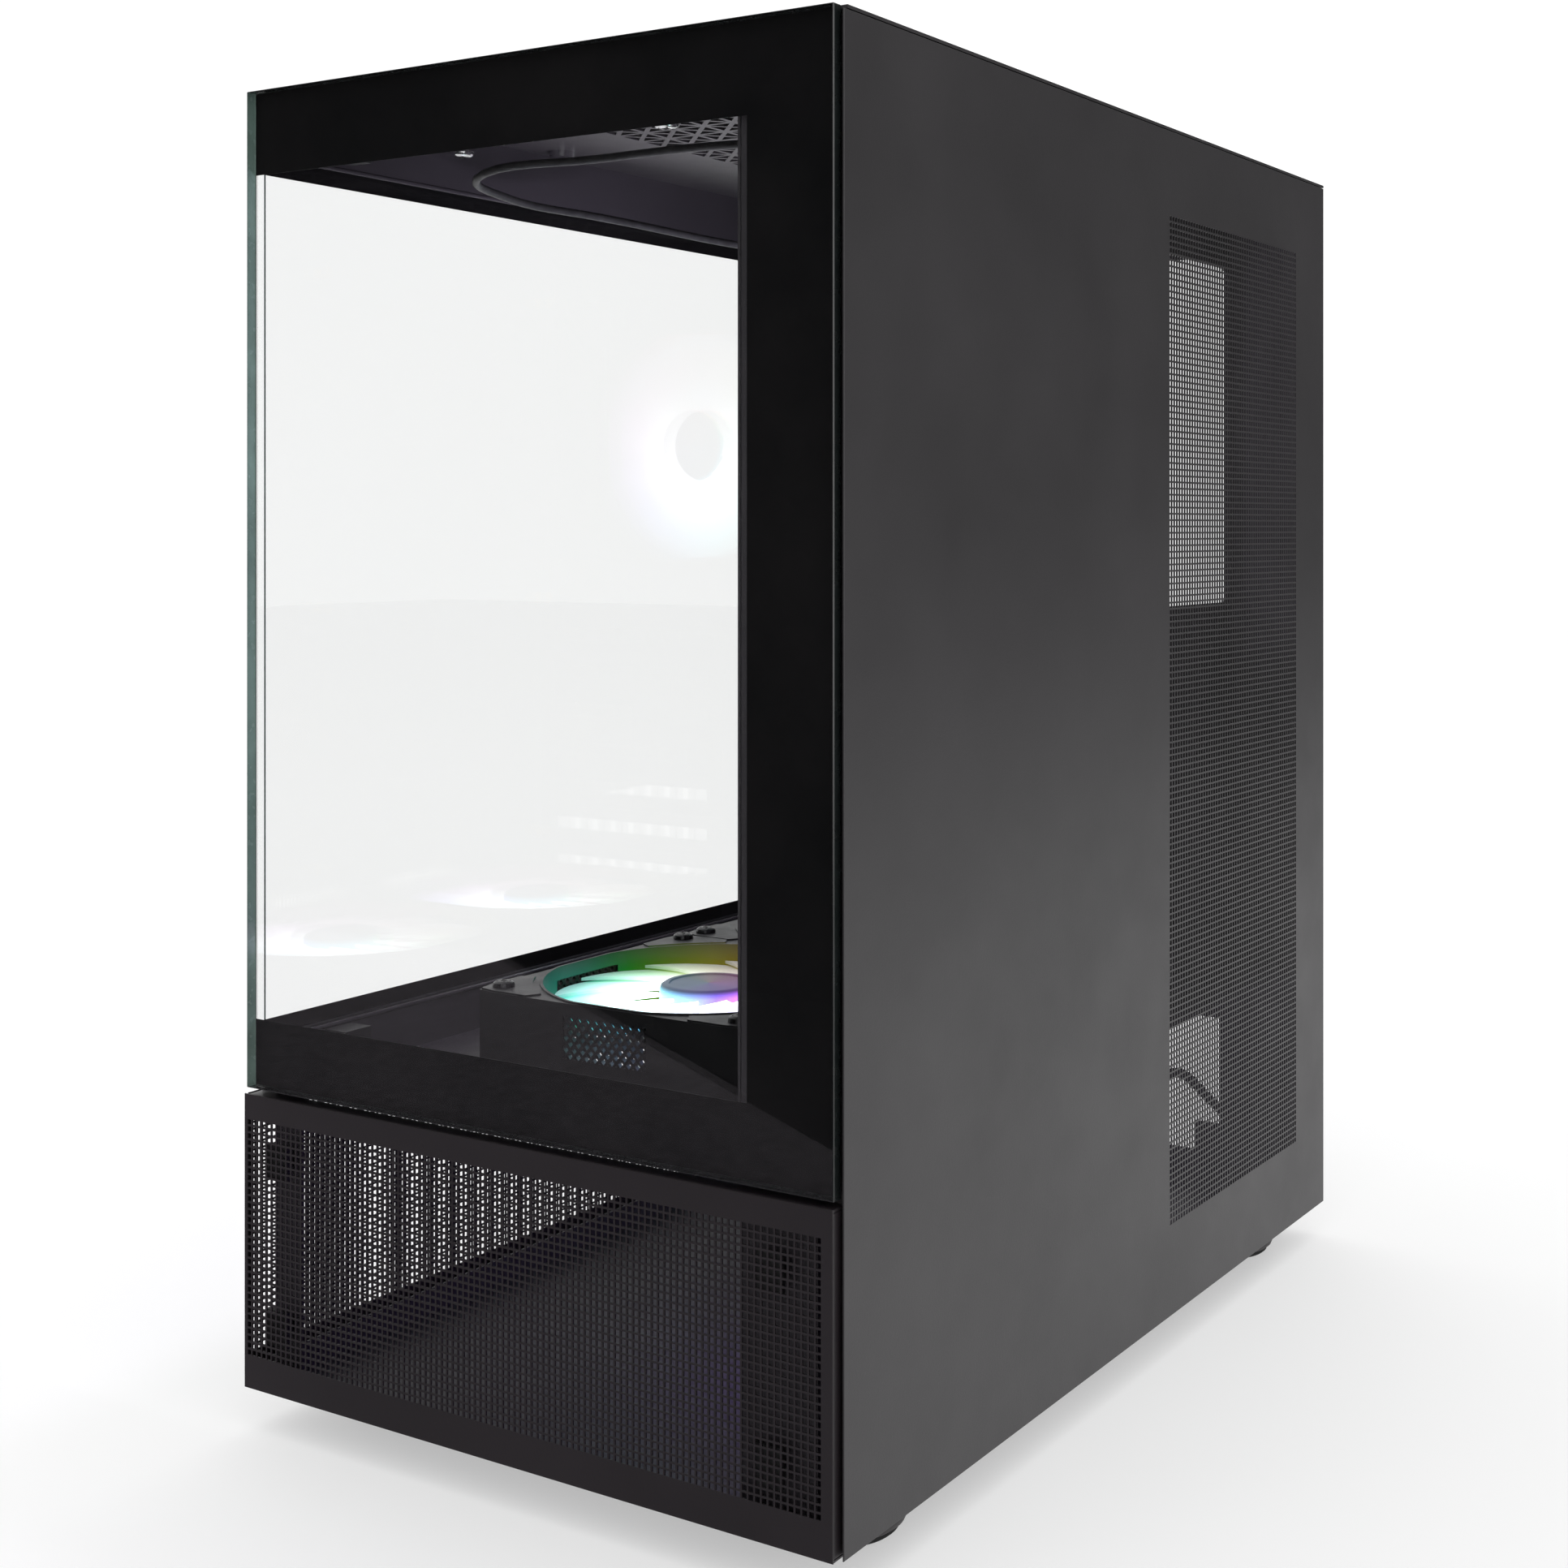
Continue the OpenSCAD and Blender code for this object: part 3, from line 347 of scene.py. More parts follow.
def lit_blade(name, glow, centre, axis):
    """Milky blade plastic, lit white near the hub and in the ring's colours towards the tips."""
    s = Shader(name)
    rainbow, radius, _, side = ring_colour(s, centre, axis)
    s.principled(Roughness=0.35)
    s.base(s.noise(60, 3), (0.3, 0.31, 0.34), (0.4, 0.41, 0.45))
    s.grain(s.noise(1800, 2), 0.1, 0.00004)
    pale = s.node("ShaderNodeMix", data_type="RGBA", A=(1, 1, 1, 1))
    s.link(s.spread(radius, 0.05, 1.0, 0.026, 0.058), pale.inputs["Factor"])
    s.link(rainbow, pale.inputs["B"])
    s.feed(pale.outputs["Result"], "Emission Color")
    fade = s.math("POWER", s.spread(radius, 1.0, 0.08, 0.016, 0.060), 1.5)
    s.feed(s.product(s.product(fade, side), glow), "Emission Strength")


def hub_cap(name, glow, centre, axis):
    """Smoked hub cap with a faint tint of the ring's colours in it."""
    s = Shader(name)
    rainbow, _, depth, _ = ring_colour(s, centre, axis)
    s.principled(Roughness=0.42, Specular_IOR_Level=0.3)
    s.base(s.noise(60, 3), (0.05, 0.04, 0.07), (0.08, 0.065, 0.11))
    s.grain(s.noise(1800, 2), 0.1, 0.00004)
    mixed = s.node("ShaderNodeMix", data_type="RGBA", A=(0.30, 0.16, 0.55, 1), Factor=0.45)
    s.link(rainbow, mixed.inputs["B"])
    s.feed(mixed.outputs["Result"], "Emission Color")
    wall = s.spread(depth, 1.0, 0.05, 0.020, 0.0225)
    s.feed(s.product(wall, glow), "Emission Strength")


def painted_bore_glow(name, glow, centre, axis):
    """Black frame plastic with the ring's light painted on the walls of its bore as a glow."""
    s = Shader(name)
    rainbow, _, depth, _ = ring_colour(s, centre, axis)
    s.principled(Specular_IOR_Level=0.5)
    colour = (0.01, 0.01, 0.011)
    s.base(s.noise(30, 3), tint(colour, 0.85), tint(colour, 1.15))
    s.rough(s.noise(60, 4, 0.7), 0.36, 0.5)
    s.grain(s.noise(2600, 2), 0.25, 0.00006)
    # painted light: the bore walls glow in the ring's colours, strongest at the mounting face and
    # fading towards the far face
    s.feed(rainbow, "Emission Color")
    low = s.spread(depth, 1.0, 0.15, 0.0, 0.025)
    s.feed(s.product(low, glow), "Emission Strength")


def woven_mesh(name, colour):
    """Fine nylon weave of the dust filters: threads with open gaps between them."""
    s = Shader(name)
    s.principled(Specular_IOR_Level=0.3, Roughness=0.7)
    vector = s.coords()
    waves = []
    for direction in ("X", "Y"):
        w = s.node("ShaderNodeTexWave", wave_type="BANDS", bands_direction=direction, Scale=180)
        s.link(vector, w.inputs["Vector"])
        waves.append(w.outputs["Fac"])
    threads = s.math("MAXIMUM", waves[0], waves[1])
    s.feed(s.shade(threads, tint(colour, 0.4), tint(colour, 1.5)), "Base Color")
    s.grain(threads, 0.8, 0.0002)
    s.feed(s.spread(threads, 0.25, 1.0, 0.25, 0.45), "Alpha")


def sleeve(name, colour):
    """Cable sleeve with a fine lengthwise rib."""
    s = Shader(name)
    s.principled(Specular_IOR_Level=0.4)
    s.base(s.noise(400, 2), tint(colour, 0.7), tint(colour, 1.4))
    s.rough(s.noise(800, 2), 0.4, 0.6)
    s.grain(s.noise(3000, 1), 0.3, 0.0001)


def studio_floor(name, colour):
    """Pale seamless floor."""
    s = Shader(name)
    s.principled(Specular_IOR_Level=0.2, Emission_Color=(1, 1, 1, 1), Emission_Strength=0.42)
    s.base(s.noise(3, 2), tint(colour, 0.995), colour)
    s.rough(s.noise(20, 2), 0.75, 0.85)


# ---- mesh helpers


def faces_of(verts):
    return list({f for v in verts for f in v.link_faces})


def added(bm, before):
    """The vertices that a bmesh has gained since the set before was taken."""
    return [v for v in bm.verts if v not in before]


def turn_about(axis, angle):
    return Matrix.Rotation(angle, 4, axis)


def block(bm, low, high, bevel=0.0, segments=2, material=0):
    """Adds a box between two corners, its edges rounded by bevel, and returns its vertices."""
    verts = bmesh.ops.create_cube(bm, size=1)["verts"]
    low, high = Vector(low), Vector(high)
    size = high - low
    bmesh.ops.scale(bm, vec=size, verts=verts)
    bmesh.ops.translate(bm, vec=(low + high) / 2, verts=verts)
    for f in faces_of(verts):
        f.material_index = material
    if bevel:
        edges = list({e for v in verts for e in v.link_edges})
        verts = bmesh.ops.bevel(
            bm, geom=edges, offset=min(bevel, min(size) * 0.45), segments=segments, profile=0.5,
            affect="EDGES", material=-1,
        )["verts"]
    return verts


def lathe(bm, profile, segments=48, material=0, matrix=None):
    """Spins a profile of (radius, height) points about Z into a closed solid."""
    verts = [bm.verts.new((r, 0, z)) for r, z in profile]
    edges = [bm.edges.new((a, b)) for a, b in zip(verts, verts[1:])]
    made = bmesh.ops.spin(
        bm, geom=verts + edges, cent=(0, 0, 0), axis=(0, 0, 1), angle=2 * math.pi, steps=segments,
        use_merge=True, use_normal_flip=False,
    )
    last = [item for item in made["geom_last"] if isinstance(item, bmesh.types.BMVert)]
    todo, seen = verts + last, set()
    while todo:
        v = todo.pop()
        if v in seen or not v.is_valid:
            continue
        seen.add(v)
        todo.extend(e.other_vert(v) for e in v.link_edges)
    bmesh.ops.remove_doubles(bm, verts=list(seen), dist=TINY / 10)
    seen = [v for v in seen if v.is_valid]
    faces = faces_of(seen)
    bmesh.ops.recalc_face_normals(bm, faces=faces)
    for f in faces:
        f.material_index = material
    if matrix is not None:
        bmesh.ops.transform(bm, matrix=matrix, verts=seen)
    return seen


def outline(radius, *points, base=0.0):
    """A profile for lathe, from millimetres inside a radius and millimetres over a base."""
    return [(0 if d is AXIS else radius - d * MM, base + h * MM) for d, h in points]


def field_lines(low, high, first, last, pitch, share):
    """Positions of the sheet's edges and of the hole edges between first and last."""
    count = int((last - first + pitch * (1 - share)) / pitch + 0.5)
    bar = pitch * (1 - share)
    step = (last - first + bar) / count
    lines = [low]
    for i in range(count):
        lines += [first + i * step, first + (i + 1) * step - bar]
    return lines + [high]


def open_grid(bm, xs, ys, is_hole):
    """A flat grid on two lists of lines, without the cells that are holes. Returns its faces."""
    nx, ny = len(xs) - 1, len(ys) - 1
    verts = bmesh.ops.create_grid(bm, x_segments=nx, y_segments=ny, size=0.5)["verts"]
    faces, holes = faces_of(verts), []
    for f in faces:
        c = f.calc_center_median()
        if is_hole(int((c.x + 0.5) * nx), int((c.y + 0.5) * ny)):
            holes.append(f)
    for v in verts:
        v.co = (xs[round((v.co.x + 0.5) * nx)], ys[round((v.co.y + 0.5) * ny)], 0)
    bmesh.ops.delete(bm, geom=holes, context="FACES")
    return [f for f in faces if f.is_valid]


def perforated(bm, across, along, thickness, edge=0.0):
    """A flat sheet in the XY plane with a hole in every odd cell of the two line lists."""
    faces = open_grid(bm, across, along, lambda i, j: i % 2 and j % 2)
    bmesh.ops.solidify(bm, geom=faces, thickness=thickness)
    if edge:
        top = max(v.co.z for v in bm.verts)
        ends = (across[0], across[-1]), (along[0], along[-1])

        def on_rim(v):
            near = [min(abs(c - a), abs(c - b)) < TINY / 10 for c, (a, b) in zip(v.co, ends)]
            return abs(v.co.z - top) < TINY / 10 and any(near)

        rim = [e for e in bm.edges if all(map(on_rim, e.verts)) and e.calc_face_angle(0) > 1]
        bmesh.ops.bevel(
            bm, geom=rim, offset=edge, segments=2, profile=0.5, affect="EDGES", material=-1
        )


def new_mesh(name, bm, materials):
    """Turns a bmesh into a mesh with its materials, and frees it."""
    mesh = bpy.data.meshes.new(name)
    bm.to_mesh(mesh)
    bm.free()
    for material in materials:
        mesh.materials.append(material)
    return mesh


def new_object(name, data):
    obj = bpy.data.objects.new(name, data)
    bpy.context.scene.collection.objects.link(obj)
    return obj


def declare(piece, body, replaces=()):
    """Says what a piece rides on and which nodes it stands for."""
    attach(piece, body)
    if replaces:
        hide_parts(*replaces)


def add_piece(name, bm, body, slot, replaces=(), looks=(), smooth=0.0):
    """Turns a bmesh into a finished object that rides on a body."""
    mesh = new_mesh(name, bm, [MATERIALS[look] for look in looks or [slot]])
    if smooth:
        mesh.shade_smooth()
        mesh.set_sharp_from_angle(angle=math.radians(smooth))
    declare(new_object(name, mesh), body, replaces)


def corners(node):
    low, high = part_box(node)
    return Vector(low), Vector(high)


def make_finishes():
    f = finish()
    powder_coat("skin_steel", f.skin_colour)
    powder_coat("cover_steel", f.cover_colour, rough=0.38)
    powder_coat("chassis_steel", f.inner_colour, rough=0.4, grain=900)
    powder_coat("hem_steel", f.inner_colour, rough=0.2, grain=700, strength=0.08)
    moulded("black_plastic", (0.018, 0.018, 0.019))
    moulded("foot_plastic", (0.035, 0.031, 0.033), rough=0.55)
    moulded("fan_plastic", (0.010, 0.010, 0.011), rough=0.48)
    moulded("button_plastic", (0.04, 0.04, 0.043), rough=0.3, grain=4000)
    # painted shade: near black for the cross recesses of the screw heads
    moulded("recess_painted_shade", (0.01, 0.01, 0.01), rough=0.7)
    soft_rubber("rubber", (0.012, 0.012, 0.012))
    metal("brass", (0.72, 0.52, 0.22))
    metal("copper", (0.62, 0.27, 0.12), rough=0.35)
    metal("black_screw", (0.06, 0.06, 0.063), rough=0.32)
    metal("bright_screw", (0.78, 0.78, 0.8), rough=0.16)
    metal("port_steel", (0.6, 0.6, 0.62), rough=0.3)
    solder_mask("circuit_board", (0.012, 0.06, 0.03))
    solder_mask("led_board", (0.75, 0.75, 0.78))
    clear_glass("glass", f.glass_tint)
    glass_rim("glass_rim", (0.03, 0.055, 0.05))
    # painted light: a darker and a lighter copy of the green rim, for the front glass's shaded
    # edges and its backlit left edge
    glass_rim("glass_rim_painted_shade", (0.007, 0.009, 0.009))
    glass_rim("glass_rim_painted_backlight", (0.16, 0.24, 0.21))
    fired_print("glass_print")
    woven_mesh("filter_mesh", (0.02, 0.02, 0.022))
    sleeve("cable", (0.02, 0.02, 0.021))


# ---- operators


class TOWER_OT_finishes(bpy.types.Operator):
    """Make the finishes and put them on the CAD nodes that keep their shape"""

    bl_idname = "tower.finishes"
    bl_label = "Finishes"

    def execute(self, context):
        make_finishes()
        looks = {"fan_plastic": "black_plastic", "lit_blade": "black_plastic"}
        for part in frame["record"]["subparts"]:
            slot = part["material_slot"]
            materials = frame["nodes"][part["node"]].data.materials
            materials.clear()
            materials.append(MATERIALS[looks.get(slot, slot)])
        return {"FINISHED"}


def printed_glass(side, facing, level, band):
    """A glass with arrised edges, and the print on its back round the clear window.

    facing is the axis that the glass faces, level the level axis in it, and band the width of
    the upright band at the high end of that axis.
    """
    s = sizes()
    node, body = side + "_glass", side + "_window"
    low, high = corners(node)
    # light and dark pick the rim copies with painted backlight and painted shade
    clear, rim, light, dark = range(4)
    bm = bmesh.new()
    block(bm, low, high, bevel=0.35 * MM, segments=2)
    bm.normal_update()
    for f in bm.faces:
        if abs(f.normal[facing]) > 0.98 or (facing == 0 and f.normal.y < -0.98):
            f.material_index = clear
        else:
            # the front glass's left edge gets the rim with painted backlight, its other edges the
            # rim with painted shade
            f.material_index = rim if facing == 0 else (light if f.normal.x < -0.5 else dark)
    looks = ("glass", "glass_rim", "glass_rim_painted_backlight", "glass_rim_painted_shade")
    add_piece(body + "_glass", bm, body, "glass", [node], looks)

    inset = Vector((0.4 * MM,) * 3)
    start, end = low + inset, high - inset
    start[facing], end[facing] = high[facing] - 0.14 * MM, high[facing] - 0.02 * MM
    left, right = start[level], high[level] - band
    bottom, top = low.z + s.print_bottom, high.z - s.print_top
    strips = (
        (start[level], start.z, end[level], bottom),
        (start[level], top, end[level], end.z),
        (start[level], bottom, left, top),
        (right, bottom, end[level], top),
    )
    bm = bmesh.new()
    for a0, b0, a1, b1 in strips:
        if min(a1 - a0, b1 - b0) > 10 * TINY:
            near, far = start.copy(), end.copy()
            near[level], near.z, far[level], far.z = a0, b0, a1, b1
            block(bm, near, far)
    bmesh.ops.remove_doubles(bm, verts=bm.verts, dist=TINY)
    add_piece(body + "_print", bm, body, "glass_print")


class TOWER_OT_front_glass(bpy.types.Operator):
    """Build the front glass with its printed border"""

    bl_idname = "tower.front_glass"
    bl_label = "Front glass"

    def execute(self, context):
        printed_glass("front", 1, 0, sizes().print_right)
        return {"FINISHED"}


class TOWER_OT_side_glass(bpy.types.Operator):
    """Build the left glass with its printed bands"""

    bl_idname = "tower.side_glass"
    bl_label = "Side glass"

    def execute(self, context):
        printed_glass("side", 0, 1, sizes().print_rear)
        return {"FINISHED"}


def upright_sheet(low, high, level, holes, outward):
    """A perforated sheet that stands between two corners.

    level is its level axis, holes the ends of its field of holes along that axis and along Z,
    and outward the direction of its face along the axis that is left.
    """
    s = sizes()
    (first, last), (bottom, top) = holes
    across = field_lines(low[level], high[level], first, last, s.hole_pitch, s.hole_share)
    along = field_lines(low.z, high.z, bottom, top, s.hole_pitch, s.hole_share)
    bm = bmesh.new()
    perforated(bm, across, along, s.skin_sheet, s.edge_radius)
    facing = 1 - level
    stand = Matrix.Diagonal((0, 0, 0, 1))
    stand[level][0] = stand[2][1] = 1
    stand[facing][2] = outward
    bmesh.ops.transform(bm, matrix=stand, verts=bm.verts)
    shift = Vector((0, 0, 0))
    face = high[facing] if outward > 0 else low[facing]
    shift[facing] = face - outward * max(outward * v.co[facing] for v in bm.verts)
    bmesh.ops.translate(bm, vec=shift, verts=bm.verts)
    bmesh.ops.recalc_face_normals(bm, faces=bm.faces)
    return bm


class TOWER_OT_right_skin(bpy.types.Operator):
    """Build the right panel with its tall vent and folded flanges"""

    bl_idname = "tower.right_skin"
    bl_label = "Right panel"

    def execute(self, context):
        low, high = corners("right_panel")
        rear, bottom = high.y - 32.4 * MM, low.z + 33.8 * MM
        vent = (rear - 126 * MM, rear), (bottom, bottom + 373.5 * MM)
        bm = upright_sheet(low, high, 1, vent, 1)
        inner = high.x - sizes().skin_sheet
        front = corners("right_front_channel")[0].y
        for z in (low.z, high.z - SHEET):
            block(bm, (inner - 10 * MM, front, z), (inner, high.y - SHEET, z + SHEET), FOLD)
        start = (inner - 8 * MM, front, low.z + SHEET)
        block(bm, start, (inner, front + SHEET, high.z - SHEET), FOLD)
        block(bm, (inner - 15 * MM, high.y - SHEET, low.z), (inner, high.y, high.z), FOLD)
        nodes = ["right_panel", "right_panel_flanges"]
        add_piece("right_skin", bm, "right_cover", "skin_steel", nodes)
        return {"FINISHED"}


class TOWER_OT_lower_front(bpy.types.Operator):
    """Build the perforated lower front cover"""

    bl_idname = "tower.lower_front"
    bl_label = "Lower front cover"

    def execute(self, context):
        low, high = corners("front_mesh_cover")
        holes = (low.x + 1.6 * MM, high.x - 4 * MM), (low.z + 11.4 * MM, high.z - 8.5 * MM)
        bm = upright_sheet(low, high, 0, holes, -1)
        back = low.y + sizes().skin_sheet
        deep = corners("front_cover_returns")[1].y
        for z in (low.z, high.z - SHEET):
            block(bm, (low.x + 1.5 * MM, back, z), (high.x, deep, z + SHEET), FOLD)
        block(bm, (high.x - SHEET, back, low.z + SHEET), (high.x, deep, high.z - SHEET), FOLD)
        nodes = ["front_mesh_cover", "front_cover_returns"]
        add_piece("lower_front_skin", bm, "front_cover", "cover_steel", nodes)
        return {"FINISHED"}


class TOWER_OT_lower_left(bpy.types.Operator):
    """Build the perforated lower left skin"""

    bl_idname = "tower.lower_left"
    bl_label = "Lower left skin"

    def execute(self, context):
        low, high = corners("left_mesh_panel")
        holes = (low.y + 1.2 * MM, high.y - 24 * MM), (low.z + 11.4 * MM, high.z - 8.5 * MM)
        bm = upright_sheet(low, high, 1, holes, -1)
        back = low.x + sizes().skin_sheet
        fold_low, fold_high = corners("left_mesh_returns")
        for z in (low.z, high.z - SHEET):
            block(bm, (back, fold_low.y, z), (fold_high.x, fold_high.y, z + SHEET), FOLD)
        nodes = ["left_mesh_panel", "left_mesh_returns"]
        add_piece("lower_left_skin", bm, "chassis", "cover_steel", nodes)
        return {"FINISHED"}


def fan_place(number):
    """Matrix from a fan's own space, mounting face at z = 0, to the row frame."""
    low, high = corners(f"fan_{number}_frame")
    x, y, z = (low + high) / 2
    if number < 3:
        return Matrix.Translation((x, y, low.z))
    return Matrix.Translation((x, high.y, z)) @ turn_about("X", QUARTER)


def fan_light(number, part, make, *values):
    """Makes a finish that follows the colours round a fan, and returns the finish's name."""
    name = f"fan_{number}_{part}"
    make(name, *values, fan_place(number).translation, "Z" if number < 3 else "Y")
    return name


def solid_plate(bm, before, faces, z0, z1, material=0):
    """Gives flat faces thickness, so that they fill the space from z0 to z1."""
    bmesh.ops.solidify(bm, geom=faces, thickness=z1 - z0)
    fresh = added(bm, before)
    low = min(v.co.z for v in fresh)
    middle = low + (z1 - z0) / 2
    for v in fresh:
        v.co.z = z0 if v.co.z < middle else z1
    made = faces_of(fresh)
    bmesh.ops.recalc_face_normals(bm, faces=made)
    for f in made:
        f.material_index = material
    return fresh


def ring_plate(bm, inner, outer, z0, z1, count=96, keep=None, material=0):
    """A flat ring between two outlines, each a function of the turn from 0 to 1."""
    before = set(bm.verts)
    edges = set()
    for outline in (inner, outer):
        verts = bmesh.ops.create_circle(bm, cap_ends=False, radius=1, segments=count)["verts"]
        for i, v in enumerate(verts):
            v.co = (*outline(i / count), 0)
        edges |= {e for v in verts for e in v.link_edges}
    faces = bmesh.ops.bridge_loops(bm, edges=list(edges))["faces"]
    if keep:
        gone = [f for f in faces if not keep(f.calc_center_median())]
        bmesh.ops.delete(bm, geom=gone, context="FACES")
        faces = [f for f in faces if f.is_valid]
    return solid_plate(bm, before, faces, z0, z1, material)


def straight_share(limit):
    """Turns a share of the ring into an angle, with points on the ends of the flat walls."""
    flat = math.atan2(limit, 1)

    def angle(turn):
        quarter = math.floor(turn * 4 + 0.5)
        rest = (turn * 4 - quarter) * 2
        sign = 1 if rest >= 0 else -1
        rest = abs(rest)
        if rest < 0.5:
            step = rest / 0.5 * flat
        else:
            step = flat + (rest - 0.5) / 0.5 * (math.pi / 4 - flat)
        return quarter * math.pi / 2 + sign * step

    return angle


def build_fan_frame(number):
    half, wall, depth = 60 * MM, 1.75 * MM, 25 * MM
    inner, lip = half - wall, 0.6 * MM
    patch, patch_low, patch_high = 18 * MM, 5 * MM, 20 * MM
    lit = fan_light(number, "bore", painted_bore_glow, finish().glow * BORE_PAINTED_GLOW)
    angle = straight_share(patch / inner)

    def bore(turn, grow=0.0):
        a = angle(turn)
        reach = inner + grow
        r = min(reach + 2 * MM, reach / max(abs(math.cos(a)), abs(math.sin(a))))
        return r * math.cos(a), r * math.sin(a)

    def square(turn, cut=0.0):
        a = angle(turn)
        x, y = math.cos(a), math.sin(a)
        reach = half - cut
        r = reach / max(abs(x), abs(y))
        x, y = r * x, r * y
        over = abs(x) + abs(y) - (2 * reach - 3 * MM)
        if over > 0:
            x -= math.copysign(over / 2, x)
            y -= math.copysign(over / 2, y)
        return x, y

    bm = bmesh.new()
    levels = (
        (0, patch_low, None),
        (patch_low, patch_high, lambda c: min(abs(c.x), abs(c.y)) > patch),
        (patch_high, depth - lip, None),
    )
    for z0, z1, keep in levels:
        ring_plate(bm, bore, square, z0, z1, keep=keep)
    # raised lip round the bore, and a plate in each corner
    ring_plate(bm, bore, lambda t: bore(t, 1.0 * MM), depth - lip, depth)
    ring_plate(
        bm, lambda t: bore(t, 3.6 * MM), lambda t: square(t, 0.5 * MM), depth - lip, depth,
        keep=lambda c: min(abs(c.x), abs(c.y)) > 36 * MM,
    )
    # the inward walls of the bore take the finish with the painted glow
    for f in bm.faces:
        c = f.calc_center_median()
        inward = f.normal.x * c.x + f.normal.y * c.y < -0.2 * math.hypot(c.x, c.y)
        f.material_index = 1 if inward and abs(f.normal.z) < 0.5 else 0
    # motor seat and its four arms
    seat, floor, arm = 18 * MM, 3 * MM, 3 * MM
    lathe(bm, outline(seat, (AXIS, 0), (0.5, 0), (0, 0.5), (0, 3), (AXIS, 3)), 48)
    for turn in TURNS_45:
        verts = block(bm, (seat - 2 * MM, -arm, 0.2 * MM), (inner + 1 * MM, arm, floor), 0.6 * MM)
        bmesh.ops.transform(bm, matrix=turn_about("Z", turn), verts=verts)
    # a patch of diamond holes in each wall
    middle, tall = (patch_low + patch_high) / 2, (patch_high - patch_low) / 2
    sides = ((1, 0, 0), patch), ((-1, 0, 0), patch), ((0, 1, 0), tall), ((0, -1, 0), tall)
    for k in range(4):
        before = set(bm.verts)
        made = bmesh.ops.create_grid(bm, x_segments=14, y_segments=14, size=20.5 * MM)["verts"]
        bmesh.ops.transform(bm, matrix=turn_about("Z", TURNS_45[0]), verts=made)
        bmesh.ops.scale(bm, vec=(0.9, 1.0, 1), verts=made)
        faces = faces_of(made)
        bmesh.ops.inset_individual(bm, faces=faces, thickness=0.5 * MM, use_even_offset=True)
        bmesh.ops.delete(bm, geom=faces, context="FACES")
        for normal, reach in sides:
            fresh = added(bm, before)
            geom = fresh + list({e for v in fresh for e in v.link_edges}) + faces_of(fresh)
            bmesh.ops.bisect_plane(
                bm, geom=geom, dist=TINY / 10, plane_co=Vector(normal) * reach, plane_no=normal,
                clear_outer=True,
            )
        fresh = solid_plate(bm, before, faces_of(added(bm, before)), -wall, 0)
        shift = Matrix.Translation((0, -half + 0.02 * MM, middle))
        stand = turn_about("Z", QUARTER * k) @ shift @ turn_about("X", QUARTER)
        bmesh.ops.transform(bm, matrix=stand, verts=fresh)
    bmesh.ops.transform(bm, matrix=fan_place(number), verts=bm.verts)
    bmesh.ops.recalc_face_normals(bm, faces=bm.faces)
    name, looks = f"fan_{number}_", ["fan_plastic", lit]
    add_piece(name + "housing", bm, "chassis", "fan_plastic", [name + "frame"], looks, smooth=25)


class TOWER_OT_fan_frames(bpy.types.Operator):
    """Build the three fan frames with their arms, corner plates and hole patches"""

    bl_idname = "tower.fan_frames"
    bl_label = "Fan frames"

    def execute(self, context):
        for number in FANS:
            build_fan_frame(number)
        return {"FINISHED"}


class TOWER_OT_rotors(bpy.types.Operator):
    """Build the three rotors with their swept, lit blades"""

    bl_idname = "tower.rotors"
    bl_label = "Rotors"

    def execute(self, context):
        for number in FANS:
            build_rotor(number)
        return {"FINISHED"}


def build_rotor(number):
    glow = finish().glow
    looks = [
        fan_light(number, "glow", lit_blade, glow),
        fan_light(number, "hub", hub_cap, glow * HUB_GLOW),
    ]
    hub, tip, low, high = 18 * MM, 56.3 * MM, 5 * MM, 23 * MM
    root, thick = hub - 0.6 * MM, 1.1 * MM
    bm = bmesh.new()
    profile = outline(
        hub, (2, 0), (0, 0), (0, 16), (0.5, 17.2), (1.6, 17.9), (2.4, 18), (3.4, 18), (3.8, 17.5),
        (AXIS, 17.5), (AXIS, 16), (2, 16), (2, 0), base=low,
    )
    lathe(bm, profile, 64, material=1)
    count = sizes().blade_count
    for k in range(count):
        before = set(bm.verts)
        made = bmesh.ops.create_grid(bm, x_segments=12, y_segments=10, size=0.5)["verts"]
        for v in made:
            out, along = v.co.x + 0.5, v.co.y + 0.5
            r = root + (tip - root) * out
            width = math.radians(66 - 8 * out)
            sweep = math.radians(26) * out ** 1.4
            a = 2 * math.pi * k / count + sweep + (along - 0.5) * width
            rise = 5 * MM - 1 * MM * out
            z = low + 9.6 * MM + 0.6 * MM * out + rise * (along + 0.12 * math.sin(math.pi * along))
            v.co = (r * math.cos(a), r * math.sin(a), min(z, high - 1.5 * MM))
        bmesh.ops.solidify(bm, geom=faces_of(made), thickness=thick)
        made = faces_of(added(bm, before))
        bmesh.ops.recalc_face_normals(bm, faces=made)
        for f in made:
            f.material_index = 0
    bmesh.ops.transform(bm, matrix=fan_place(number), verts=bm.verts)
    nodes = [f"fan_{number}_rotor"]
    add_piece(f"fan_{number}_blades", bm, f"rotor_{number}", "lit_blade", nodes, looks, smooth=35)


def plate_with_holes(bm, xs, ys, holes, z0, z1):
    """A flat plate on the grid of lines xs and ys, with the cells named in holes left out."""
    before = set(bm.verts)
    faces = open_grid(bm, xs, ys, lambda i, j: (i, j) in holes)
    return solid_plate(bm, before, faces, z0, z1)


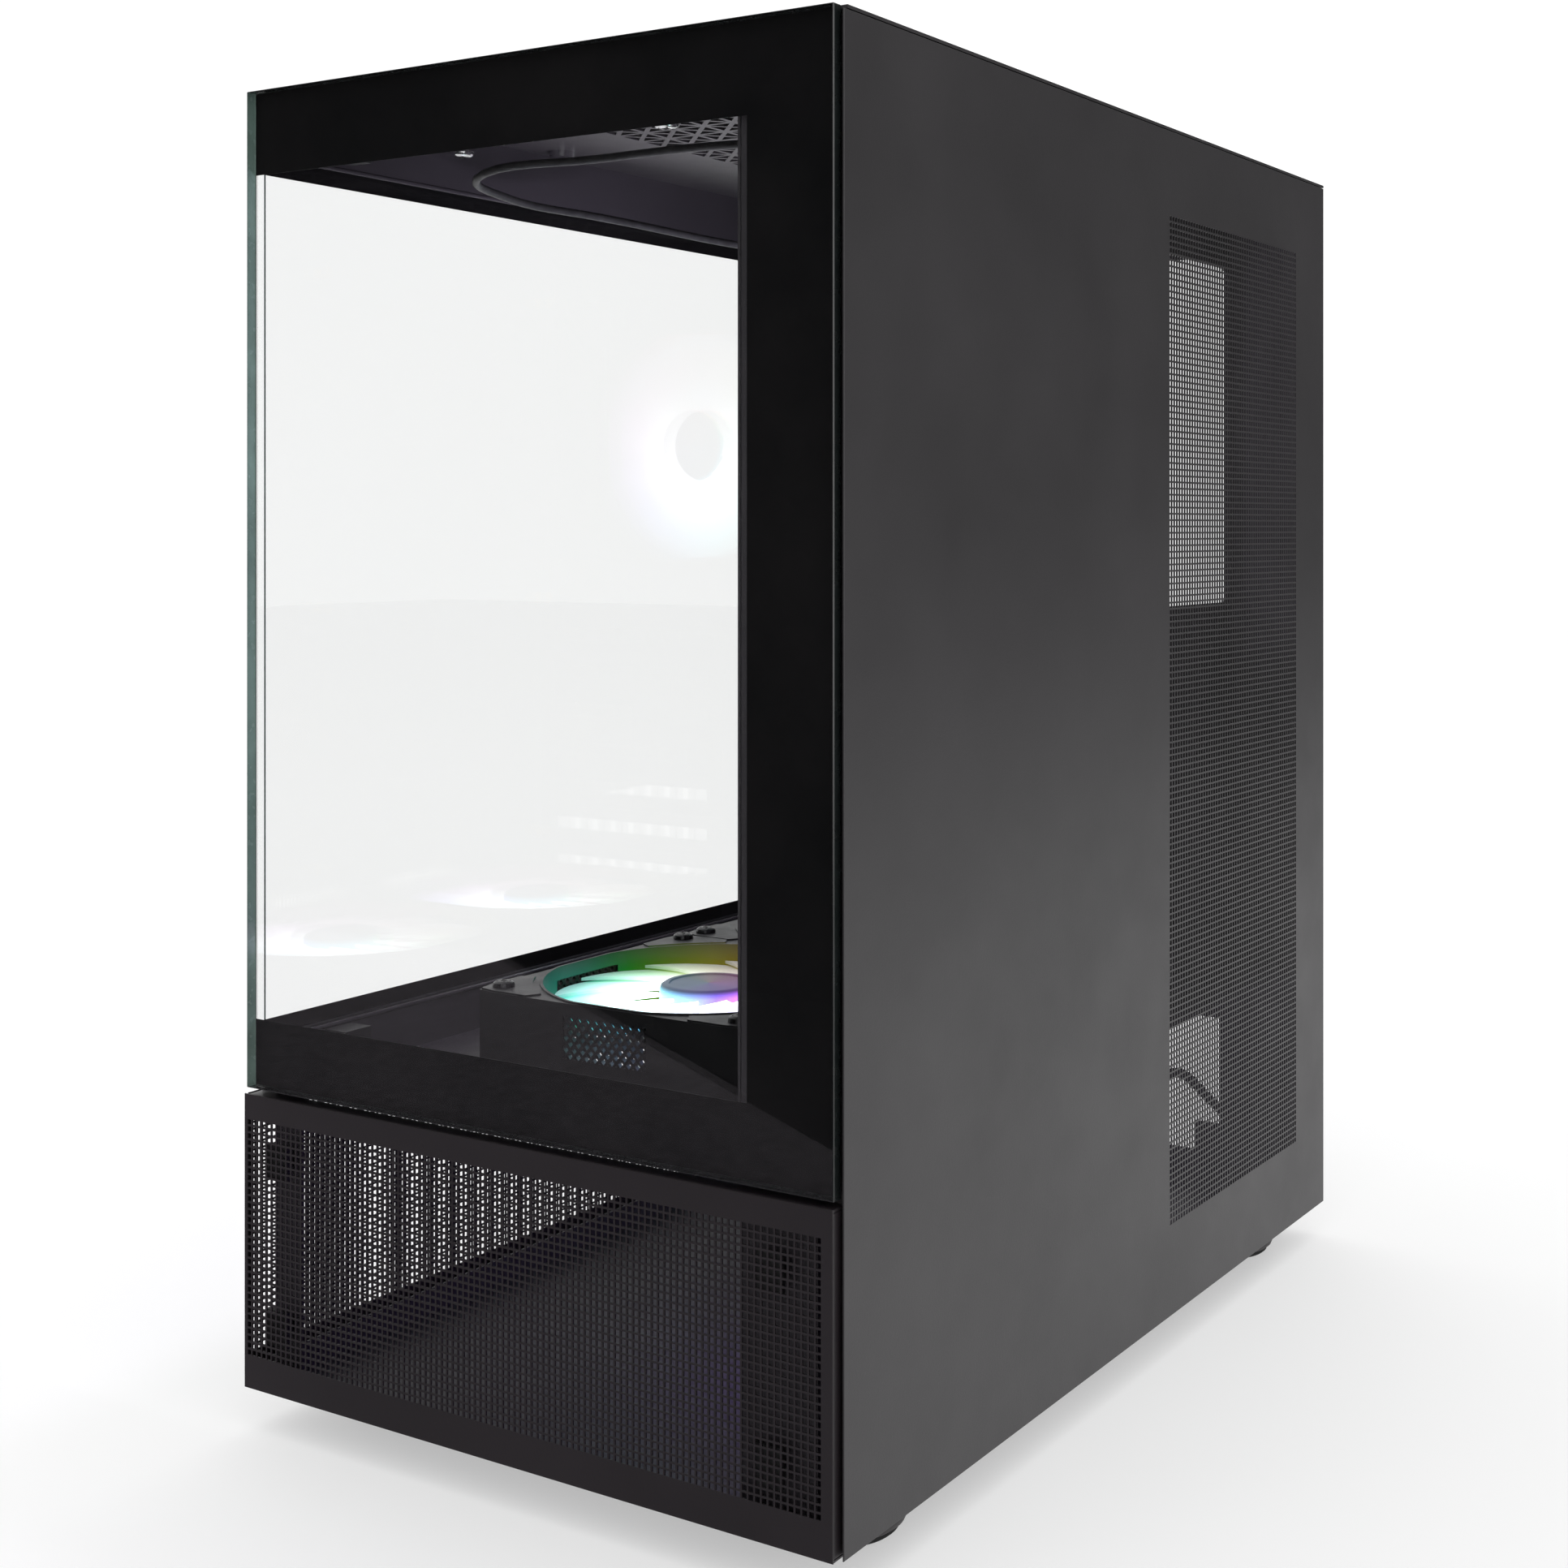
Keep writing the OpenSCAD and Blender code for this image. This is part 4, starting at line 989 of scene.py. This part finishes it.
def lattice(bm, x0, x1, y0, y1, cell, bar, z0, z1):
    """A field of triangular struts that fills a rectangle."""
    before = set(bm.verts)
    nx, ny = round((x1 - x0) / cell), round((y1 - y0) / cell)
    xs = [x0 + (x1 - x0) * i / nx for i in range(nx + 1)]
    ys = [y0 + (y1 - y0) * j / ny for j in range(ny + 1)]
    faces = open_grid(bm, xs, ys, lambda i, j: False)
    faces = bmesh.ops.poke(bm, faces=faces)["faces"]
    bmesh.ops.inset_individual(bm, faces=faces, thickness=bar / 2, use_even_offset=True)
    bmesh.ops.delete(bm, geom=faces, context="FACES")
    return solid_plate(bm, before, faces_of(added(bm, before)), z0, z1)


class TOWER_OT_top(bpy.types.Operator):
    """Build the top skin with its strut lattice under the dust filter"""

    bl_idname = "tower.top_skin"
    bl_label = "Top skin"

    def execute(self, context):
        low, high = corners("top_panel")
        m_low, m_high = corners("top_filter_mesh")
        b_low, b_high = corners("front_io_bezel")
        edge, play, cell, bar = 3 * MM, 0.1 * MM, 13.5 * MM, 1.9 * MM
        bridge, bridge_end = -40 * MM, -26 * MM
        x0, x1 = -62 * MM, m_high.x - edge
        y0, y1 = m_low.y + edge, m_high.y - edge
        b0, b1 = b_low.y - play, b_high.y + play
        xs = [low.x, x0, x1, b_low.x - play, b_high.x + play, high.x]
        ys = sorted([low.y, y0, bridge, bridge_end, b0, b1, y1, high.y])

        def cells(column, first, last):
            spans = enumerate(zip(ys, ys[1:]))
            return {(column, j) for j, (a, b) in spans if a >= first - TINY and b <= last + TINY}

        opening = cells(1, y0, y1) - {(1, ys.index(bridge))} | cells(3, b0, b1)
        bm = bmesh.new()
        plate_with_holes(bm, xs, ys, opening, low.z, high.z)
        for first, last in ((y0, bridge), (bridge_end, y1)):
            lattice(bm, x0, x1, first, last, cell, bar, low.z, high.z)
        bmesh.ops.remove_doubles(bm, verts=bm.verts, dist=TINY / 10)
        add_piece("top_skin", bm, "chassis", "skin_steel", ["top_panel"])
        return {"FINISHED"}


def rod(bm, start, end, radius, segments=16, material=0):
    """A round rod between two points, with slightly rounded ends."""
    start, end = Vector(start), Vector(end)
    span = end - start
    turn = UP.rotation_difference(span).to_matrix().to_4x4()
    place = Matrix.Translation(start) @ turn
    cut = radius * 0.3
    profile = [
        (0, 0), (radius - cut, 0), (radius, cut), (radius, span.length - cut),
        (radius - cut, span.length), (0, span.length),
    ]
    return lathe(bm, profile, segments, material, place)


class TOWER_OT_rails(bpy.types.Operator):
    """Build the hems of the folded edges along the inner top rails and the deck"""

    bl_idname = "tower.rails"
    bl_label = "Rails"

    def execute(self, context):
        low, high = corners("top_rails")
        tray, _ = corners("motherboard_tray")
        deck = corners("psu_shroud")[1].z
        hem = 0.9 * MM
        x, y = low.x + SHEET / 2, low.y + SHEET / 2
        bm = bmesh.new()
        for z in (low.z, deck):
            rod(bm, (x, y, z), (tray.x - SHEET, y, z), hem)
            rod(bm, (x, y, z), (x, high.y - SHEET, z), hem)
        add_piece("folded_hems", bm, "chassis", "chassis_steel", looks=["hem_steel"], smooth=40)
        return {"FINISHED"}


def screw_head(bm, place, radius, height=2.2 * MM):
    """A pan head whose cross recess is a dark block of painted shade, standing on its seat along
    +Z.
    """
    inner = radius * 0.34
    profile = [
        (0, 0), (radius, 0), (radius, height * 0.35), (radius * 0.92, height * 0.7),
        (radius * 0.72, height * 0.93), (radius * 0.5, height), (inner, height),
        (inner, height * 0.35), (0, height * 0.3),
    ]
    lathe(bm, profile, 32, 0, place)
    arm, half, bottom, top = inner * 1.9, inner * 0.28, height * 0.5, height * 1.005
    # painted shade: the cross is a near-black block that reaches just above the head's top and
    # stands in for the shade down in the recess
    for turn in TURNS_45[:2]:
        verts = block(bm, (-arm, -half, bottom), (arm, half, top), material=1)
        bmesh.ops.transform(bm, matrix=place @ turn_about("Z", turn), verts=verts)


class TOWER_OT_screws(bpy.types.Operator):
    """Build the heads of the fan screws and of the screws under the top"""

    bl_idname = "tower.screws"
    bl_label = "Screws"

    def execute(self, context):
        pitch, depth, shank = 52.5 * MM, 25 * MM, 2 * MM
        over = turn_about("X", math.pi)
        bm = bmesh.new()
        for number in FANS:
            height, length, face = depth, depth + 2 * SHEET, Matrix()
            if number == 3:
                height, length, face = -SHEET, 10 * MM, over
            profile = outline(shank, (AXIS, 0), (0.3, 0), (0, 0.5))
            profile += [(shank, length), (0, length)]
            for x in (-pitch, pitch):
                for y in (-pitch, pitch):
                    spot = fan_place(number) @ Matrix.Translation((x, y, height)) @ face
                    screw_head(bm, spot, 4 * MM)
                    lathe(bm, profile, 16, 0, spot @ Matrix.Translation((0, 0, -length)))
        looks = ["black_screw", "recess_painted_shade"]
        add_piece("fan_screw_heads", bm, "chassis", looks[0], ["fan_screws"], looks, smooth=30)
        top = corners("top_panel")[0].z
        seat = top - 8.6 * MM
        bm = bmesh.new()
        for x, y in ((-101 * MM, -109 * MM), (-1 * MM, -115.5 * MM)):
            screw_head(bm, Matrix.Translation((x, y, seat)) @ over, 4.4 * MM)
            rod(bm, (x, y, seat), (x, y, top), 2.6 * MM)
        looks = ["bright_screw", "recess_painted_shade"]
        add_piece("ceiling_posts", bm, "chassis", looks[0], looks=looks, smooth=30)
        return {"FINISHED"}


CABLES = {
    "fan_cable_front": (
        1.5, (40, -110, 119), (52, -106, 118), (64, -92, 118), (76, -80, 122), (88, -72, 130),
        (94, -64, 160), (92, -58, 210), (94, -54, 260), (91, -48, 292), (88, -44, 310),
    ),
    "fan_cable_rear": (
        1.5, (28, 164, 392), (36, 150, 412), (10, 110, 424), (-50, 40, 420), (-92, -40, 428),
        (-99, -86, 430), (-80, -120, 433), (-45, -100, 438), (9, -89, 440), (60, -86, 436),
        (80, -82, 423), (92, -74, 424), (96, -58, 430), (91, -46, 426), (88, -40, 413.5),
    ),
    "front_io_cable": (
        2, (95, -100, 434), (95, -104, 418), (99, -112, 380), (97, -114, 300), (98, -106, 200),
        (96, -90, 140), (95, -80, 112), (92, -50, 85), (88, 0, 58), (92, 50, 70), (88, 95, 84),
        (86, 140, 66), (92, 158, 42), (96, 130, 24), (90, 84, 20),
    ),
}


class TOWER_OT_cables(bpy.types.Operator):
    """Lay the cables smoothly along their routes"""

    bl_idname = "tower.cables"
    bl_label = "Cables"

    def execute(self, context):
        for node, (radius, *route) in CABLES.items():
            data = bpy.data.curves.new(node + "_sleeve", "CURVE")
            data.dimensions = "3D"
            data.bevel_depth = radius * MM
            data.bevel_resolution = 3
            data.resolution_u = 6
            data.use_fill_caps = True
            line = data.splines.new("BEZIER")
            line.bezier_points.add(len(route) - 1)
            for point, place in zip(line.bezier_points, route):
                point.co = Vector(place) * MM
                point.handle_left_type = point.handle_right_type = "AUTO"
            data.materials.append(MATERIALS["cable"])
            declare(new_object(node + "_sleeve", data), "chassis", [node])
        return {"FINISHED"}


class TOWER_OT_thumbscrews(bpy.types.Operator):
    """Build the knurled thumbscrews of the right panel"""

    bl_idname = "tower.thumbscrews"
    bl_label = "Thumbscrews"

    def execute(self, context):
        low, high = corners("panel_thumbscrews")
        head, length, teeth = 5.5 * MM, 6 * MM, 72
        profile = outline(
            head, (AXIS, 0), (1, 0), (1, 1), (0.4, 1), (0, 1.5), (0, 5.2), (0.8, 6), (2.6, 6),
            (3, 5.3), (AXIS, 5.3),
        )
        x, seat = low.x + head, high.y - length
        bm = bmesh.new()
        for z in (low.z + head, high.z - head):
            before = set(bm.verts)
            lathe(bm, profile, teeth)
            fresh = added(bm, before)
            for v in fresh:
                r = math.hypot(v.co.x, v.co.y)
                step = round(math.atan2(v.co.y, v.co.x) / (2 * math.pi) * teeth)
                if r > head - 0.5 * MM and 1.2 * MM < v.co.z < length - 0.3 * MM and step % 2 == 0:
                    v.co.xy *= 0.93
            place = Matrix.Translation((x, seat, z)) @ turn_about("X", -QUARTER)
            bmesh.ops.transform(bm, matrix=place, verts=fresh)
            rod(bm, (x, low.y, z), (x, seat, z), 1.75 * MM)
        name, nodes = "panel_thumbscrew_heads", ["panel_thumbscrews"]
        add_piece(name, bm, "right_cover", "black_screw", nodes, smooth=25)
        return {"FINISHED"}


def corner_discs(name, node, slot, look, radius, points):
    """The same turned disc at the four corners of a node's box."""
    low, high = corners(node)
    profile = outline(radius, (AXIS, 0), *points, base=low.z)
    profile += [(radius, high.z), (0, high.z)]
    bm = bmesh.new()
    for x in (low.x + radius, high.x - radius):
        for y in (low.y + radius, high.y - radius):
            lathe(bm, profile, 64, 0, Matrix.Translation((x, y, 0)))
    add_piece(name, bm, "chassis", slot, [node], [look], smooth=30)


class TOWER_OT_feet(bpy.types.Operator):
    """Build the four round feet and their pads"""

    bl_idname = "tower.feet"
    bl_label = "Feet"

    def execute(self, context):
        foot = (4, 0), (3, 0.2), (1.6, 1.2), (1, 2.6), (0.8, 5), (0.2, 5.4), (0, 6)
        pad = (5, 0), (4.6, 0.5), (4, 0.5), (3.6, 0), (1, 0), (0, 0.8)
        corner_discs("round_feet", "feet", "black_plastic", "foot_plastic", 20 * MM, foot)
        corner_discs("round_foot_pads", "foot_pads", "rubber", "rubber", 16.5 * MM, pad)
        return {"FINISHED"}


def reflector(name, look, low, high, place=Matrix()):
    """A card that only shows in reflections."""
    bm = bmesh.new()
    block(bm, low, high)
    bmesh.ops.transform(bm, matrix=place, verts=bm.verts)
    card = new_object(name, new_mesh(name, bm, [MATERIALS[look]]))
    for kind in ("camera", "diffuse", "transmission", "shadow", "volume_scatter"):
        setattr(card, "visible_" + kind, False)


def light(name, kind, place, power):
    data = bpy.data.lights.new(name, kind)
    data.energy = power
    lamp = new_object(name, data)
    lamp.location = place
    return lamp


class TOWER_OT_stage(bpy.types.Operator):
    """Set the floor, the studio light and the camera"""

    bl_idname = "tower.stage"
    bl_label = "Stage"

    def execute(self, context):
        scene = context.scene
        bm = bmesh.new()
        bmesh.ops.create_grid(bm, x_segments=4, y_segments=4, size=6)
        studio_floor("studio_floor", (0.55, 0.55, 0.55))
        new_object("floor", new_mesh("floor", bm, [MATERIALS["studio_floor"]]))

        world = scene.world = bpy.data.worlds.new("studio")
        world.use_nodes = True
        scene.view_settings.view_transform = "Standard"
        back = world.node_tree.nodes["Background"]
        back.inputs["Color"].default_value = (1, 1, 1, 1)
        back.inputs["Strength"].default_value = finish().studio

        black, grey = "card_cloth", "card_paper"
        soft_rubber(black, (0.004, 0.004, 0.004), 0.95)
        soft_rubber(grey, (0.2, 0.18, 0.2), 0.95)
        slant = Matrix.Translation((-0.12, -0.553, 0)) @ turn_about("Z", math.radians(29.8))
        reflector("front_card", black, (-2.6, -0.82, 0.006), (0.2, -0.81, 1.8))
        reflector("floor_card", grey, (-2.6, -1.4, 0.001), (0.3, -0.2, 0.002))
        reflector("slanted_card", black, (-2, -1, 0.003), (0.6, 0, 0.004), slant)
        reflector("side_card", black, (0.8, 0.1, 0.02), (0.81, 6, 3))

        softboxes = (
            ("side_softbox", (2.4, 0.4, 0.5), 1.6, 6),
            ("top_softbox", (0.2, 0.3, 3.2), 4.0, 10),
        )
        for name, place, size, power in softboxes:
            lamp = light(name, "AREA", place, power)
            lamp.data.shape = "DISK"
            lamp.data.size = size
            aim = Vector((0, 0, 0.22)) - Vector(place)
            lamp.rotation_euler = aim.to_track_quat("-Z", "Y").to_euler()

        glows = (
            ("inside_glow", (-0.02, -0.04, 0.33), 1.1, (0.88, 0.82, 1.0)),
            ("chamber_glow", (0.045, -0.09, 0.06), 0.16, (0.42, 0.12, 1.0)),
        )
        for name, place, power, tone in glows:
            lamp = light(name, "POINT", place, power)
            lamp.data.color = tone
            lamp.data.shadow_soft_size = 0.03
            lamp.visible_camera = lamp.visible_glossy = False

        data = bpy.data.cameras.new("camera")
        data.sensor_width = 36
        data.lens = 48.91
        data.shift_x = -0.0911
        data.shift_y = -0.1637
        data.clip_start = 0.01
        camera = scene.camera = new_object("camera", data)
        camera.location = (0.4523, -0.692, 0.306)
        camera.rotation_euler = (QUARTER, 0, math.radians(31.2))
        return {"FINISHED"}


class TOWER_PT_panel(bpy.types.Panel):
    """Lists the steps that build the tower"""

    bl_idname = "TOWER_PT_panel"
    bl_label = "Tower"
    bl_space_type = "VIEW_3D"
    bl_region_type = "UI"
    bl_category = "Tower"

    def draw(self, context):
        layout = self.layout
        for step in STEPS:
            layout.operator(step.bl_idname)
        for group in (context.scene.tower_sizes, context.scene.tower_finish):
            box = layout.box()
            for key in group.__annotations__:
                box.prop(group, key)


STEPS = (
    TOWER_OT_finishes,
    TOWER_OT_front_glass,
    TOWER_OT_side_glass,
    TOWER_OT_right_skin,
    TOWER_OT_lower_front,
    TOWER_OT_lower_left,
    TOWER_OT_top,
    TOWER_OT_fan_frames,
    TOWER_OT_rotors,
    TOWER_OT_rails,
    TOWER_OT_screws,
    TOWER_OT_cables,
    TOWER_OT_thumbscrews,
    TOWER_OT_feet,
    TOWER_OT_stage,
)
CLASSES = (TowerSizes, TowerFinish, *STEPS, TOWER_PT_panel)


def register():
    for cls in CLASSES:
        bpy.utils.register_class(cls)
    bpy.types.Scene.tower_sizes = bpy.props.PointerProperty(type=TowerSizes)
    bpy.types.Scene.tower_finish = bpy.props.PointerProperty(type=TowerFinish)


def unregister():
    del bpy.types.Scene.tower_finish
    del bpy.types.Scene.tower_sizes
    for cls in reversed(CLASSES):
        bpy.utils.unregister_class(cls)


def main():
    register()
    for step in STEPS:
        group, name = step.bl_idname.split(".")
        getattr(getattr(bpy.ops, group), name)()


if __name__ == "__main__":
    main()
